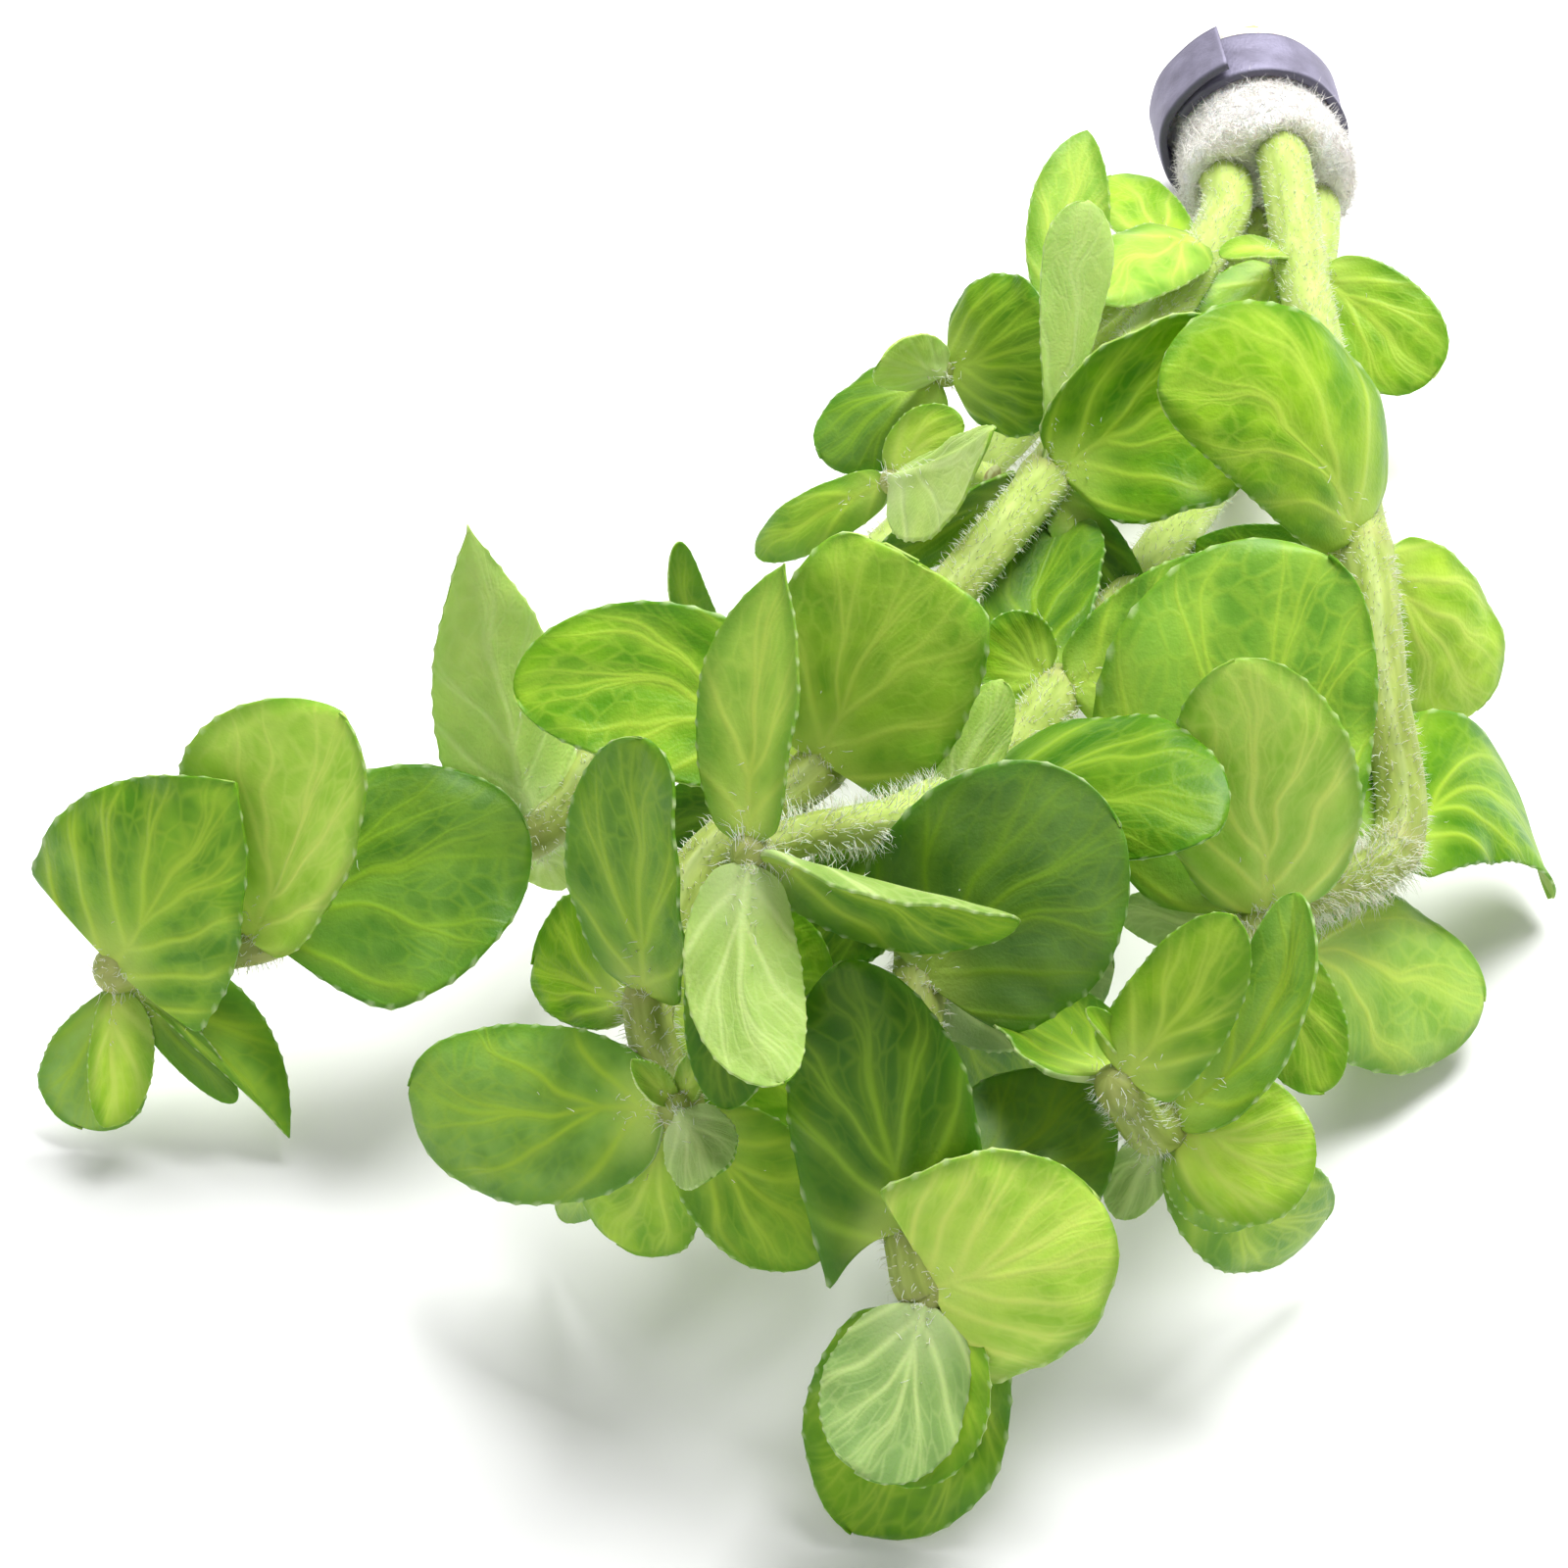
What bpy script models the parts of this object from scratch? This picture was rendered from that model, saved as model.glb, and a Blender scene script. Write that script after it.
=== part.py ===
"""Variegated bacopa lanigera: four cut stems lying on their side, held in a foam plug by a lead strip.

Run with blender --background --python part.py. Lengths below are in millimetres unless a name says otherwise.
"""

import math
from typing import NamedTuple

import bmesh
import bpy
import numpy as np
from mathutils import Matrix, Vector

METRE = 0.001
OBJECT_NAME = "bacopa_bunch"

# Where the bunch lies: the middle of its footprint, and the height of the side it is seen from
MIDDLE = np.array((3.0, 21.7, 0.0))
VIEW_ELEVATION = math.radians(48)
FACE_RIGHT = np.array((1.0, 0.0, 0.0))
FACE_UP = np.array((0.0, math.sin(VIEW_ELEVATION), math.cos(VIEW_ELEVATION)))
FACE_OUT = np.array((0.0, -math.cos(VIEW_ELEVATION), math.sin(VIEW_ELEVATION)))

# Foam plug and lead strip at the cut end
COLLAR_CENTRE = np.array((55.0, 107.0, 11.6))
COLLAR_AXIS = np.array((0.08, -0.99, 0.09)) / math.hypot(0.08, 0.99, 0.09)
COLLAR_RIGHT = np.array((0.99, 0.08, 0.0)) / math.hypot(0.99, 0.08)
COLLAR_UP = np.cross(COLLAR_AXIS, COLLAR_RIGHT)
FOAM_RADIUS = 9.4
FOAM_FRONT = 10.0
FOAM_BACK = -12.0
FOAM_ROUNDING = 1.2
STRIP_WIDTH = 8.0
STRIP_THICKNESS = 1.0
STRIP_RADIUS = 10.2
STRIP_LAYER = 1.3
STRIP_END_LIFT = 0.6
STRIP_START_DEGREES = 110
STRIP_TURN_DEGREES = 402
CUT_END = -13.0
STEM_STRAIGHT = 1.0
GAP = 0.3

# Leaves and stems
LEAF_THICKNESS = 0.6
PETIOLE_WIDTH = 2.0
PETIOLE_LENGTH_RATIO = 0.07
LOBE_SPAN = 0.22
SMALL_LEAF_WIDTH = 9.5
LEAF_CLEARANCE = 0.6
FUSED_DEPTH = 1.0
STEM_STEPS = 3
STEM_BEVEL_RESOLUTION = 2
STEM_END_DEGREES = (40, 75)


class Stem(NamedTuple):
    """A stem or side shoot. seat is its place in the collar, right and up of the axis, or None on a shoot."""

    name: str
    thick: float
    thin: float
    seat: tuple
    points: tuple


class Leaf(NamedTuple):
    """A leaf on point number knot of its branch. face is the way its upper side looks: right, up and out.

    cup is how far its left and right halves curl, arch how far its length curls, both in degrees,
    bow how far its midrib swings right at mid length, and lift how far round the stem its base sits.
    lobe is how far its base reaches back beside the petiole, skew how much wider its right half is than its
    left, fold the angle in degrees to which its halves stand up from the midrib, and taper, over 1, draws
    its base out into a stalk.
    """

    name: str
    branch: str
    knot: int
    tip: tuple
    face: tuple
    width: float
    cup: tuple = (0, 0)
    arch: float = 0
    bow: float = 0
    widest: float = 0.5
    point: float = 0.5
    neck: float = 0.3
    lift: float = 0
    lobe: float = 0
    skew: float = 0
    fold: float = 0
    taper: float = 1


STEMS = (
    Stem("left_stem", 2.9, 2.2, (-1.8, -5.0), (
        (38, 78, 10), (13, 41, 14), (-5, 15, 18), (-17, 2, 22), (-24, -7, 21), (-43, -15, 19), (-50, -18, 18),
        (-63, -20, 16))),
    Stem("centre_stem", 2.9, 2.0, (-5.4, 1.9), (
        (46, 81, 17), (26, 32, 30), (16, 13, 33), (3, -11, 34), (-8, -23, 34), (-12, -37, 32), (-9, -48, 31))),
    Stem("front_stem", 2.9, 2.0, (5.0, -1.8), (
        (53, 67, 10), (26, 5, 27), (14, -19, 34), (12, -36, 33), (11, -57, 25), (12, -61, 22))),
    Stem("right_stem", 3.0, 2.0, (0.9, 5.2), (
        (57, 79, 18), (57, 53, 23), (58, 25, 27), (58, 7, 26), (58, -10, 22), (44, -23, 26), (34, -45, 25),
        (29, -47, 33))),
    Stem("top_shoot", 2.1, 1.6, None, ((14, -19, 39), (9, -26, 44), (2, -32, 49), (-3, -36, 51))),
    Stem("pale_shoot", 1.6, 1.3, None, ((21, 33, 29), (18, 35, 28), (11, 35, 27))),
    Stem("upper_shoot", 2.0, 1.5, None, ((41, 81, 18), (31, 66, 20), (17, 57, 22))),
)

LEAVES = (
    Leaf("left_leaf_1", "left_stem", 6, (-29, 3, 52), (-0.3, -0.3, -1), 14, (25, 25), 20, widest=0.25,
         point=1.15, neck=0.8, skew=-0.05),
    Leaf("left_leaf_2", "left_stem", 8, (-40, -13, 44), (-0.1, 0.4, 1), 19.4, (15, 15), 25, 1, widest=0.55,
         neck=0.25, lift=6, skew=-0.32),
    Leaf("left_leaf_3", "left_stem", 8, (-24, -12, 27), (-0.3, 0.1, 1), 23, (-5, 15), 10, -0.6, widest=0.45,
         neck=0.05, lift=-0.26, skew=0.14, taper=2.5),
    Leaf("left_leaf_4", "left_stem", 9, (-50, -16, 38), (0, 0.3, 1), 23.5, (-10, -15), 20, widest=0.2,
         point=0.9, neck=0.95, lift=1.4, lobe=0.05, skew=-0.12),
    Leaf("left_leaf_5", "left_stem", 9, (-67, -28, 2), (0, 0, 1), 10.5, (-10, -10), 15, widest=0.7, neck=0.05,
         taper=2),
    Leaf("left_leaf_6", "left_stem", 9, (-47, -30, 3), (0.9, 0.2, 1), 7.5, (10, -20), 20, -0.5, widest=0.33,
         point=0.9, neck=0.5, lift=-0.5, skew=-0.7),
    Leaf("centre_leaf_1", "centre_stem", 3, (30, 49, 52), (-0.5, 0, -1), 8, (20, 20), -20, widest=0.8,
         neck=0.05, taper=3),
    Leaf("centre_leaf_2", "centre_stem", 3, (47, 39, 40), (0.2, 0, 1), 21.4, (50, 50), 10, -1, widest=0.6,
         neck=0.25, lift=0.2, skew=0.2),
    Leaf("centre_leaf_3", "centre_stem", 3, (9, 27, 23), (0.6, -0.4, 1), 7, (20, 40), neck=0.6),
    Leaf("centre_leaf_4", "centre_stem", 5, (12, -4, 54), (-0.1, 0.1, 1), 20.5, (15, 15), 25, point=0.15,
         neck=0.7, lobe=0.05, skew=0.05),
    Leaf("centre_leaf_5", "centre_stem", 5, (-25, -5, 38), (-0.1, 0.2, 1), 16.5, (15, 15), 25, 3.5,
         widest=0.45, skew=-0.03),
    Leaf("centre_leaf_6", "centre_stem", 7, (-12, -29, 58), (-0.5, 0.1, 0.8), 15, (15, 45), 15),
    Leaf("centre_leaf_7", "centre_stem", 7, (-23, -26, 24), (-0.4, 0, 1), 12, (30, 10), 10, neck=0.1,
         lift=0.4, skew=0.4),
    Leaf("centre_leaf_8", "centre_stem", 7, (5, -28, 20), (-0.2, 0.1, 1), 22, (20, 20), 10, 0.5),
    Leaf("centre_leaf_9", "centre_stem", 8, (-34, -37, 20), (-1.3, 0.2, 1), 16.2, (-20, -20), 15, -1,
         neck=0.15, lift=0.9, skew=-0.05),
    Leaf("centre_leaf_10", "centre_stem", 8, (-15, -50, 14), (-0.1, 0.1, 1), 12, (-15, -15), 20, widest=0.65,
         neck=0.1),
    Leaf("centre_leaf_11", "centre_stem", 8, (4, -53, 17), (-0.1, 0.3, 1), 12, (-5, -15), 20, 0.5, neck=0.2),
    Leaf("centre_leaf_12", "centre_stem", 2, (33, 60, 29.5), (0.1, 0.5, 1), 10, (5, -10), 32, neck=0.1,
         lift=1.2, taper=1.4),
    Leaf("upper_leaf_1", "upper_shoot", 1, (33, 85, 32), (0, 0.2, 1), 9, (20, 20), 0, -1, point=0.75),
    Leaf("upper_leaf_2", "upper_shoot", 2, (28, 53, 30), (0, 0, 1), 18, (-30, -30), 30, point=0.35),
    Leaf("upper_leaf_3", "upper_shoot", 2, (4, 50, 16), (-0.2, 0.2, 1), 11, (-30, -30), 20, lift=-0.2),
    Leaf("pale_leaf_1", "pale_shoot", 2, (20, 22, 46), (-0.2, -0.2, -1), 11, (0, 10), 15, neck=0.1, lift=0.8,
         skew=-0.55),
    Leaf("pale_leaf_2", "pale_shoot", 2, (-3, 38, 14), (-0.2, 0.2, 1), 6.5, (-20, -20), 20),
    Leaf("front_leaf_1", "front_stem", 3, (45, 12, 38), (-0.3, 0.1, 1), 13.5, (10, 10), 25, 1, skew=0.1),
    Leaf("front_leaf_2", "front_stem", 3, (30, 30, 27), (-0.5, 2.3, 1), 13, (80, 10), 0, -2.5, neck=0.1,
         lift=-0.1),
    Leaf("front_leaf_3", "front_stem", 4, (38, -29, 46), (-0.1, 0.6, 1), 18, (-20, -35), 45, -2, widest=0.35,
         neck=0.2, lift=-0.2, skew=-0.25),
    Leaf("front_leaf_4", "front_stem", 5, (29, -32, 50), (0.3, 0.5, 1), 22.5, (25, -25), 25, -1.5,
         widest=0.45, neck=0.6, lift=1.2),
    Leaf("front_leaf_5", "front_stem", 5, (24, -30, 14), (0, 0.1, 1), 14, lift=-0.3),
    Leaf("front_leaf_6", "front_stem", 5, (30, -28, 26), (-0.4, 0.2, -1), 13, lift=0.1),
    Leaf("front_leaf_7", "front_stem", 6, (5, -42, 44), (-0.1, 0.1, 1), 16.5, (-25, -25), 20, 0.8, widest=0.4,
         point=0.6, neck=0.8, lift=0.3, lobe=0.3, skew=-0.08),
    Leaf("front_leaf_8", "front_stem", 6, (26, -40, 26), (-0.2, 0.2, 1), 16, (-20, -20), 20, 1.5, neck=0.6,
         lift=-0.5),
    Leaf("front_leaf_9", "front_stem", 7, (27, -57, 30), (0.2, 0.1, 1), 21, (20, -30), 40, 0.5, widest=0.25,
         point=0.45, neck=0.95, lift=0.8, lobe=0.06),
    Leaf("front_leaf_10", "front_stem", 7, (6, -77, 19), (0, 0, -1), 13, (25, 25), 20, 1, neck=0.2, lift=0.7),
    Leaf("front_leaf_11", "front_stem", 7, (9, -73, 11), (0, 0.1, 1), 13, (15, 15), 10, -1, lift=0.1),
    Leaf("front_leaf_12", "front_stem", 7, (6, -72, 1), (0, 0.1, 1), 18, (-10, -10), 15, -1.8, point=0.6,
         lift=-0.5, lobe=0.05),
    Leaf("top_leaf_1", "top_shoot", 3, (0, -22, 72), (-0.4, 0, 0.8), 9.5, (20, 20), 10, -1, point=1,
         skew=-0.06),
    Leaf("top_leaf_2", "top_shoot", 3, (0, -56, 45), (0, -0.3, -1), 10, (10, 20), 15, -2, lift=0.2),
    Leaf("top_leaf_3", "top_shoot", 3, (-5, -51, 35), (-0.3, 0, 1), 9, (20, 20)),
    Leaf("top_leaf_4", "top_shoot", 3, (20, -41, 48), (0.6, -1, 0.4), 13, (60, 50), 0, 0.5, neck=0.2,
         lift=0.8),
    Leaf("right_leaf_1", "right_stem", 2, (71, 67, 12), (0.1, -0.2, 1), 12.5, (0, 10), 10, widest=0.55,
         point=0.4, neck=0.2),
    Leaf("right_leaf_2", "right_stem", 4, (36, 26, 48), (0.1, 0.1, 1), 20, (-25, -25), 40, 4, widest=0.45,
         skew=0.25),
    Leaf("right_leaf_3", "right_stem", 4, (71, 21, 8), (0.1, 0.1, 1), 15.2, (-30, -30), 30, -0.5, widest=0.58,
         point=0.4, skew=-0.06),
    Leaf("right_leaf_4", "right_stem", 6, (77, 0, 3), (-0.4, 0.4, 1), 16.5, (10, -20), 65, -7.5, widest=0.42,
         point=0.8, lift=-1.7, lobe=0.1, skew=-0.1),
    Leaf("right_leaf_5", "right_stem", 7, (40, -14, 52), (-0.1, 0.4, 1), 18, (-45, -15), 25, 0.5, widest=0.4,
         neck=0.2, lift=1.1, skew=0.05),
    Leaf("right_leaf_6", "right_stem", 7, (50, 2, 49), (0, 0.1, 1), 26, (-10, -10), 20, -3, widest=0.48,
         skew=-0.2),
    Leaf("right_leaf_7", "right_stem", 7, (68, -15, 5), (-0.1, 0.3, 1), 18, (-20, -30), -5, -1, widest=0.58,
         neck=0.1, lift=-1.9, skew=0.12, taper=1.5),
    Leaf("right_leaf_8", "right_stem", 9, (38, -42, 50), (-0.2, 0.1, 1), 9.8, (-15, -15), 15, 0.5,
         widest=0.38, neck=0.8, lift=0.3),
    Leaf("right_leaf_9", "right_stem", 9, (22, -33, 29), (0.3, 0.3, 0.7), 13, (20, 20), neck=0.6, skew=-0.2),
    Leaf("right_leaf_10", "right_stem", 8, (44, -36, 46), (-0.5, 0.2, 0.8), 9, (15, 15), 10, 4, fold=12),
    Leaf("right_leaf_11", "right_stem", 8, (46, -50, 30), (0, 0.1, 1), 13.3, (-10, -10), 20, 1, lift=0.5,
         skew=0.12),
    Leaf("right_leaf_12", "right_stem", 8, (50, -42, 6.5), (0.3, -0.3, 1), 12.5, (-20, -10), 48, 1,
         widest=0.55, neck=0.1, lift=-0.2, skew=0.15, taper=1.3),
)

# The smallest leaves, each grown in one piece with its stem
SMALL_LEAVES = (
    Leaf("left_small_1", "left_stem", 6, (-22, -4, 9), (0, 0.3, -1), 6, (25, 25)),
    Leaf("left_small_2", "left_stem", 4, (-10, 13, 40), (0, 0.2, 1), 4.2, (20, 20), 0, -1.5),
    Leaf("centre_small_1", "centre_stem", 2, (38, 104, 10), (0, 0.2, 1), 8.5, (10, 10)),
    Leaf("centre_small_2", "centre_stem", 8, (-6, -59, 36), (0, 0.1, -1), 7, (20, 20), 10, lift=0.7),
    Leaf("upper_small_1", "upper_shoot", 2, (10, 50, 30), (0, 0.5, -1), 7.5, (20, 20), lift=0.3),
    Leaf("pale_small_1", "pale_shoot", 2, (18, 36, 34), (0, 0.2, 1), 7, (0, 0), 20, -1, lift=0.3),
    Leaf("front_small_1", "front_stem", 3, (19, 7, 34), (0, 0.2, 1), 9, (20, 20), lift=0.3),
    Leaf("front_small_2", "front_stem", 4, (20, -9, 44), (0, 0.2, -1), 6, (20, 20)),
    Leaf("right_small_1", "right_stem", 7, (32, -13, 16), (0, 0.1, -1), 6),
    Leaf("right_small_2", "right_stem", 8, (42, -49, 16), (0, 0.1, 1), 9, (-10, -10), 15, lift=0.5),
    Leaf("right_small_3", "right_stem", 8, (30, -48, 15), (0, 0.1, -1), 5.5, (20, 20), lift=-0.5),
    Leaf("right_small_4", "right_stem", 7, (50, -33, 14), (0, 0.1, 1), 9, lift=-0.7),
)


def unit(vector):
    return vector / np.linalg.norm(vector)


def placed(points):
    """Points of the tables, in metres about the middle of the footprint."""
    return (np.asarray(points, float) - MIDDLE) * METRE


def collar_point(right, up, along):
    return COLLAR_CENTRE + COLLAR_RIGHT * right + COLLAR_UP * up + COLLAR_AXIS * along


def stem_knots(stem):
    """The points a stem's leaves are counted on, starting in the collar."""
    points = [np.array(point, float) for point in stem.points]
    if stem.seat:
        points = [collar_point(*stem.seat, along) for along in (CUT_END, FOAM_FRONT + STEM_STRAIGHT)] + points
    return points


def smooth_path(points, before, steps):
    """A smooth curve through the points, which sets off in line with the point before them."""
    points = [before] + list(points) + [points[-1]]
    path = []
    for a, b, c, d in zip(points, points[1:], points[2:], points[3:]):
        for t in np.arange(steps) / steps:
            square = 2 * a - 5 * b + 4 * c - d
            cube = 3 * b - a - 3 * c + d
            path.append(0.5 * (2 * b + (c - a) * t + square * t**2 + cube * t**3))
    return path + [points[-1]]


def stem_path(stem):
    """The centre line and radii of a stem: straight through the foam, one smooth curve, and a rounded end."""
    knots = stem_knots(stem)
    if stem.seat:
        free = knots[1:]
        before = free[0] - COLLAR_AXIS * np.linalg.norm(free[1] - free[0])
        path = [knots[0]] + smooth_path(free, before, STEM_STEPS)
    else:
        path = smooth_path(knots, knots[0], STEM_STEPS)
    radii = list(np.linspace(stem.thick, stem.thin, len(path)))
    ahead = unit(path[-1] - path[-2])
    end = path[-1]
    for slope in np.radians(STEM_END_DEGREES):
        path.append(end + ahead * stem.thin * math.sin(slope))
        radii.append(stem.thin * math.cos(slope))
    return path, radii


def leaf_base(leaf, depth):
    """Where a leaf leaves the surface of its stem: at right angles to it, or straight on from its end."""
    stem = next(stem for stem in STEMS if stem.name == leaf.branch)
    knots = stem_knots(stem)
    last = len(knots) - 1
    along = unit(knots[min(leaf.knot + 1, last)] - knots[max(leaf.knot - 1, 0)])
    way = unit(np.array(leaf.tip) - knots[leaf.knot])
    for turn in (0, leaf.lift):
        way = way + FACE_OUT * turn
        if leaf.knot < last:
            way = way - along * (way @ along)
        way = unit(way)
    radius = stem.thick + (stem.thin - stem.thick) * leaf.knot / last
    return knots[leaf.knot] + way * (radius + depth)


def leaf_half_width(leaf, u):
    """Half the width at u along the leaf: a narrow petiole, then a neck that swells to an oval."""
    rise = np.sqrt(np.clip(1 - ((u - leaf.widest) / leaf.widest) ** 2, 0, 1))
    fall = np.clip(1 - (np.clip(u - leaf.widest, 0, 1) / (1 - leaf.widest)) ** 2, 0, 1) ** leaf.point
    blade = np.where(u < leaf.widest, leaf.neck + (1 - leaf.neck) * rise**leaf.taper, fall)
    petiole = PETIOLE_WIDTH / leaf.width
    opened = np.sqrt(1 - (1 - np.clip(u / PETIOLE_LENGTH_RATIO, 0, 1)) ** 2)
    return leaf.width / 2 * np.maximum(petiole + (blade - petiole) * opened, 0.12)


def leaf_surface(leaf, base, u, v):
    """Points of a leaf at u from base to tip and v from its left margin, -1, to its right margin, 1."""
    chord = np.array(leaf.tip) - base
    ahead = unit(chord)
    face = leaf.face[0] * FACE_RIGHT + leaf.face[1] * FACE_UP + leaf.face[2] * FACE_OUT
    above = unit(face - ahead * (face @ ahead))
    across = np.cross(ahead, above)
    arch = math.radians(leaf.arch) + 1e-6
    radius = np.linalg.norm(chord) / (2 * math.sin(arch / 2))
    turn = arch / 2 - arch * u
    forward = radius * (math.sin(arch / 2) - np.sin(turn))
    upward = radius * (np.cos(turn) - math.cos(arch / 2))
    swing = leaf.bow * 4 * u * (1 - u)
    slope = leaf.bow * 4 * (1 - 2 * u) / (radius * arch)
    midrib = base + np.outer(forward, ahead) + np.outer(upward, above) + np.outer(swing, across)
    tangent = np.outer(np.cos(turn), ahead) + np.outer(np.sin(turn), above)
    normal = np.outer(np.cos(turn), above) - np.outer(np.sin(turn), ahead)
    sideways = (across - slope[:, None] * tangent) / np.sqrt(1 + slope**2)[:, None]
    curl = np.radians(np.where(v < 0, leaf.cup[0], leaf.cup[1])) / (leaf.width / 2) + 1e-6
    reach = np.abs(v) * leaf_half_width(leaf, u) * (1 + leaf.skew * np.sign(v))
    start = math.radians(leaf.fold)
    out = np.sign(v) * (np.sin(curl * reach + start) - math.sin(start)) / curl
    up = (math.cos(start) - np.cos(curl * reach + start)) / curl
    lobe = leaf.lobe * np.linalg.norm(chord) * np.exp(-((u / LOBE_SPAN) ** 2))
    back = lobe * (reach / (leaf.width / 2)) ** 2
    return midrib + sideways * out[:, None] + normal * up[:, None] - tangent * back[:, None]


def linear(channel):
    return channel / 12.92 if channel <= 0.04045 else ((channel + 0.055) / 1.055) ** 2.4


def material(name, colour, roughness, metallic=0.0):
    """A plain material; colour is a hex value."""
    made = bpy.data.materials.new(name)
    made.use_nodes = True
    shader = made.node_tree.nodes["Principled BSDF"]
    channels = [linear(int(colour[i : i + 2], 16) / 255) for i in (1, 3, 5)]
    shader.inputs["Base Color"].default_value = (*channels, 1)
    shader.inputs["Roughness"].default_value = roughness
    shader.inputs["Metallic"].default_value = metallic
    return made


def collection(name):
    made = bpy.data.collections.new(name)
    bpy.context.scene.collection.children.link(made)
    return made


def add_object(name, data, group, finish=None):
    """An object of this mesh or curve in a collection, with its own material."""
    made = bpy.data.objects.new(name, data)
    if finish:
        data.materials.append(finish)
    group.objects.link(made)
    return made


def make_helper(helper):
    helper.hide_render = True
    helper.display_type = "WIRE"


def bent_grid(name, rows, columns, bend):
    """A grid whose corners lie at 0 and 1 both ways, bent by a function of its coordinates."""
    shape = bmesh.new()
    bmesh.ops.create_grid(shape, x_segments=rows, y_segments=columns, size=0.5)
    flat = np.array([vertex.co for vertex in shape.verts])[:, :2] + 0.5
    for vertex, point in zip(shape.verts, bend(flat[:, 0], flat[:, 1])):
        vertex.co = point
    mesh = bpy.data.meshes.new(name)
    shape.to_mesh(mesh)
    shape.free()
    mesh.shade_smooth()
    return mesh


def leaf_object(leaf, group, finish, depth):
    """A leaf: a bent open sheet, thickened. Its rows are closest at the petiole and towards the tip."""
    small = leaf.width <= SMALL_LEAF_WIDTH
    rows = np.array((0, 0.1, 0.45, 0.8, 1) if small else (0, 0.07, 0.26, 0.5, 0.72, 0.89, 1))
    base = leaf_base(leaf, depth)

    def bend(x, y):
        u = np.interp(x, np.linspace(0, 1, len(rows)), rows)
        return placed(leaf_surface(leaf, base, u, 2 * y - 1))

    mesh = bent_grid(leaf.name, len(rows) - 1, 2 if small else 4, bend)
    made = add_object(leaf.name, mesh, group, finish)
    thicken = made.modifiers.new("thickness", "SOLIDIFY")
    thicken.thickness = LEAF_THICKNESS * METRE
    thicken.offset = 0
    return made


def stem_curve(stem, group, finish):
    """A stem as a bevelled curve that tapers to its tip."""
    path, radii = stem_path(stem)
    data = bpy.data.curves.new(stem.name, "CURVE")
    data.dimensions = "3D"
    data.bevel_depth = METRE
    data.bevel_resolution = STEM_BEVEL_RESOLUTION
    data.use_fill_caps = True
    spline = data.splines.new("POLY")
    spline.points.add(len(path) - 1)
    for point, co, radius in zip(spline.points, placed(path), radii):
        point.co = (*co, 1)
        point.radius = radius
    return add_object(stem.name, data, group, finish)


def meshed(curve):
    """The curve as a closed mesh object of the same name, which can take a Boolean."""
    bpy.context.view_layer.update()
    evaluated = curve.evaluated_get(bpy.context.evaluated_depsgraph_get())
    mesh = bpy.data.meshes.new_from_object(evaluated)
    name = curve.name
    group = curve.users_collection[0]
    place = curve.matrix_world.copy()
    bpy.data.objects.remove(curve)
    shape = bmesh.new()
    shape.from_mesh(mesh)
    bmesh.ops.remove_doubles(shape, verts=shape.verts, dist=1e-6)
    bmesh.ops.recalc_face_normals(shape, faces=shape.faces)
    shape.to_mesh(mesh)
    shape.free()
    mesh.shade_smooth()
    mesh.set_sharp_from_angle(angle=math.radians(50))
    made = add_object(name, mesh, group)
    made.matrix_world = place
    return made


def join(target, other, operation):
    modifier = target.modifiers.new(other.name, "BOOLEAN")
    modifier.operation = operation
    modifier.object = other
    modifier.solver = "EXACT"


def collar_matrix():
    """Turns +Z along the collar's axis, +X to its right, at its centre."""
    turned = Matrix((COLLAR_RIGHT, COLLAR_UP, COLLAR_AXIS)).transposed()
    return Matrix.Translation(placed(COLLAR_CENTRE)) @ turned.to_4x4()


def lathe_profile():
    """The foam plug's outline from its back face to its front face, with rounded rims."""
    steps = np.radians((0, 45, 90))
    rim = [(FOAM_RADIUS - FOAM_ROUNDING * (1 - math.sin(a)), FOAM_ROUNDING * (1 - math.cos(a))) for a in steps]
    front = [(r, FOAM_FRONT - z) for r, z in rim]
    back = [(r, FOAM_BACK + z) for r, z in reversed(rim)]
    return [(0, FOAM_FRONT)] + front + back + [(0, FOAM_BACK)]


def make_foam(group, helpers, finish):
    """The foam plug: a turned cylinder with a socket along it for each stem."""
    outline = [(r * METRE, 0, z * METRE) for r, z in lathe_profile()]
    mesh = bpy.data.meshes.new("collar_foam")
    mesh.from_pydata(outline, [(i, i + 1) for i in range(len(outline) - 1)], [])
    foam = add_object("collar_foam", mesh, group, finish)
    foam.matrix_world = collar_matrix()
    turn = foam.modifiers.new("turned", "SCREW")
    turn.steps = turn.render_steps = 20
    turn.use_merge_vertices = True
    turn.merge_threshold = 1e-6
    for stem in STEMS:
        if not stem.seat:
            continue
        shape = bmesh.new()
        length = (FOAM_FRONT - FOAM_BACK + 4) * METRE
        radius = (stem.thick + GAP) * METRE
        bmesh.ops.create_cone(shape, cap_ends=True, segments=10, radius1=radius, radius2=radius, depth=length)
        cutter_mesh = bpy.data.meshes.new(stem.name + "_socket")
        shape.to_mesh(cutter_mesh)
        shape.free()
        cutter = add_object(stem.name + "_socket", cutter_mesh, helpers)
        middle = collar_point(*stem.seat, (FOAM_FRONT + FOAM_BACK) / 2)
        cutter.matrix_world = Matrix.Translation(placed(middle) - placed(COLLAR_CENTRE)) @ collar_matrix()
        make_helper(cutter)
        join(foam, cutter, "DIFFERENCE")
    return foam


def strip_radius(turned):
    """The strip's distance from the axis after it has turned this far from its free outer end."""
    overlap = STRIP_TURN_DEGREES - 360
    outer = np.clip(1.6 - turned / (1.6 * overlap), 0, 1)
    lifted = np.clip(1 - turned / overlap, 0, 1)
    return STRIP_RADIUS + STRIP_LAYER * outer**2 * (3 - 2 * outer) + STRIP_END_LIFT * lifted**2


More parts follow.
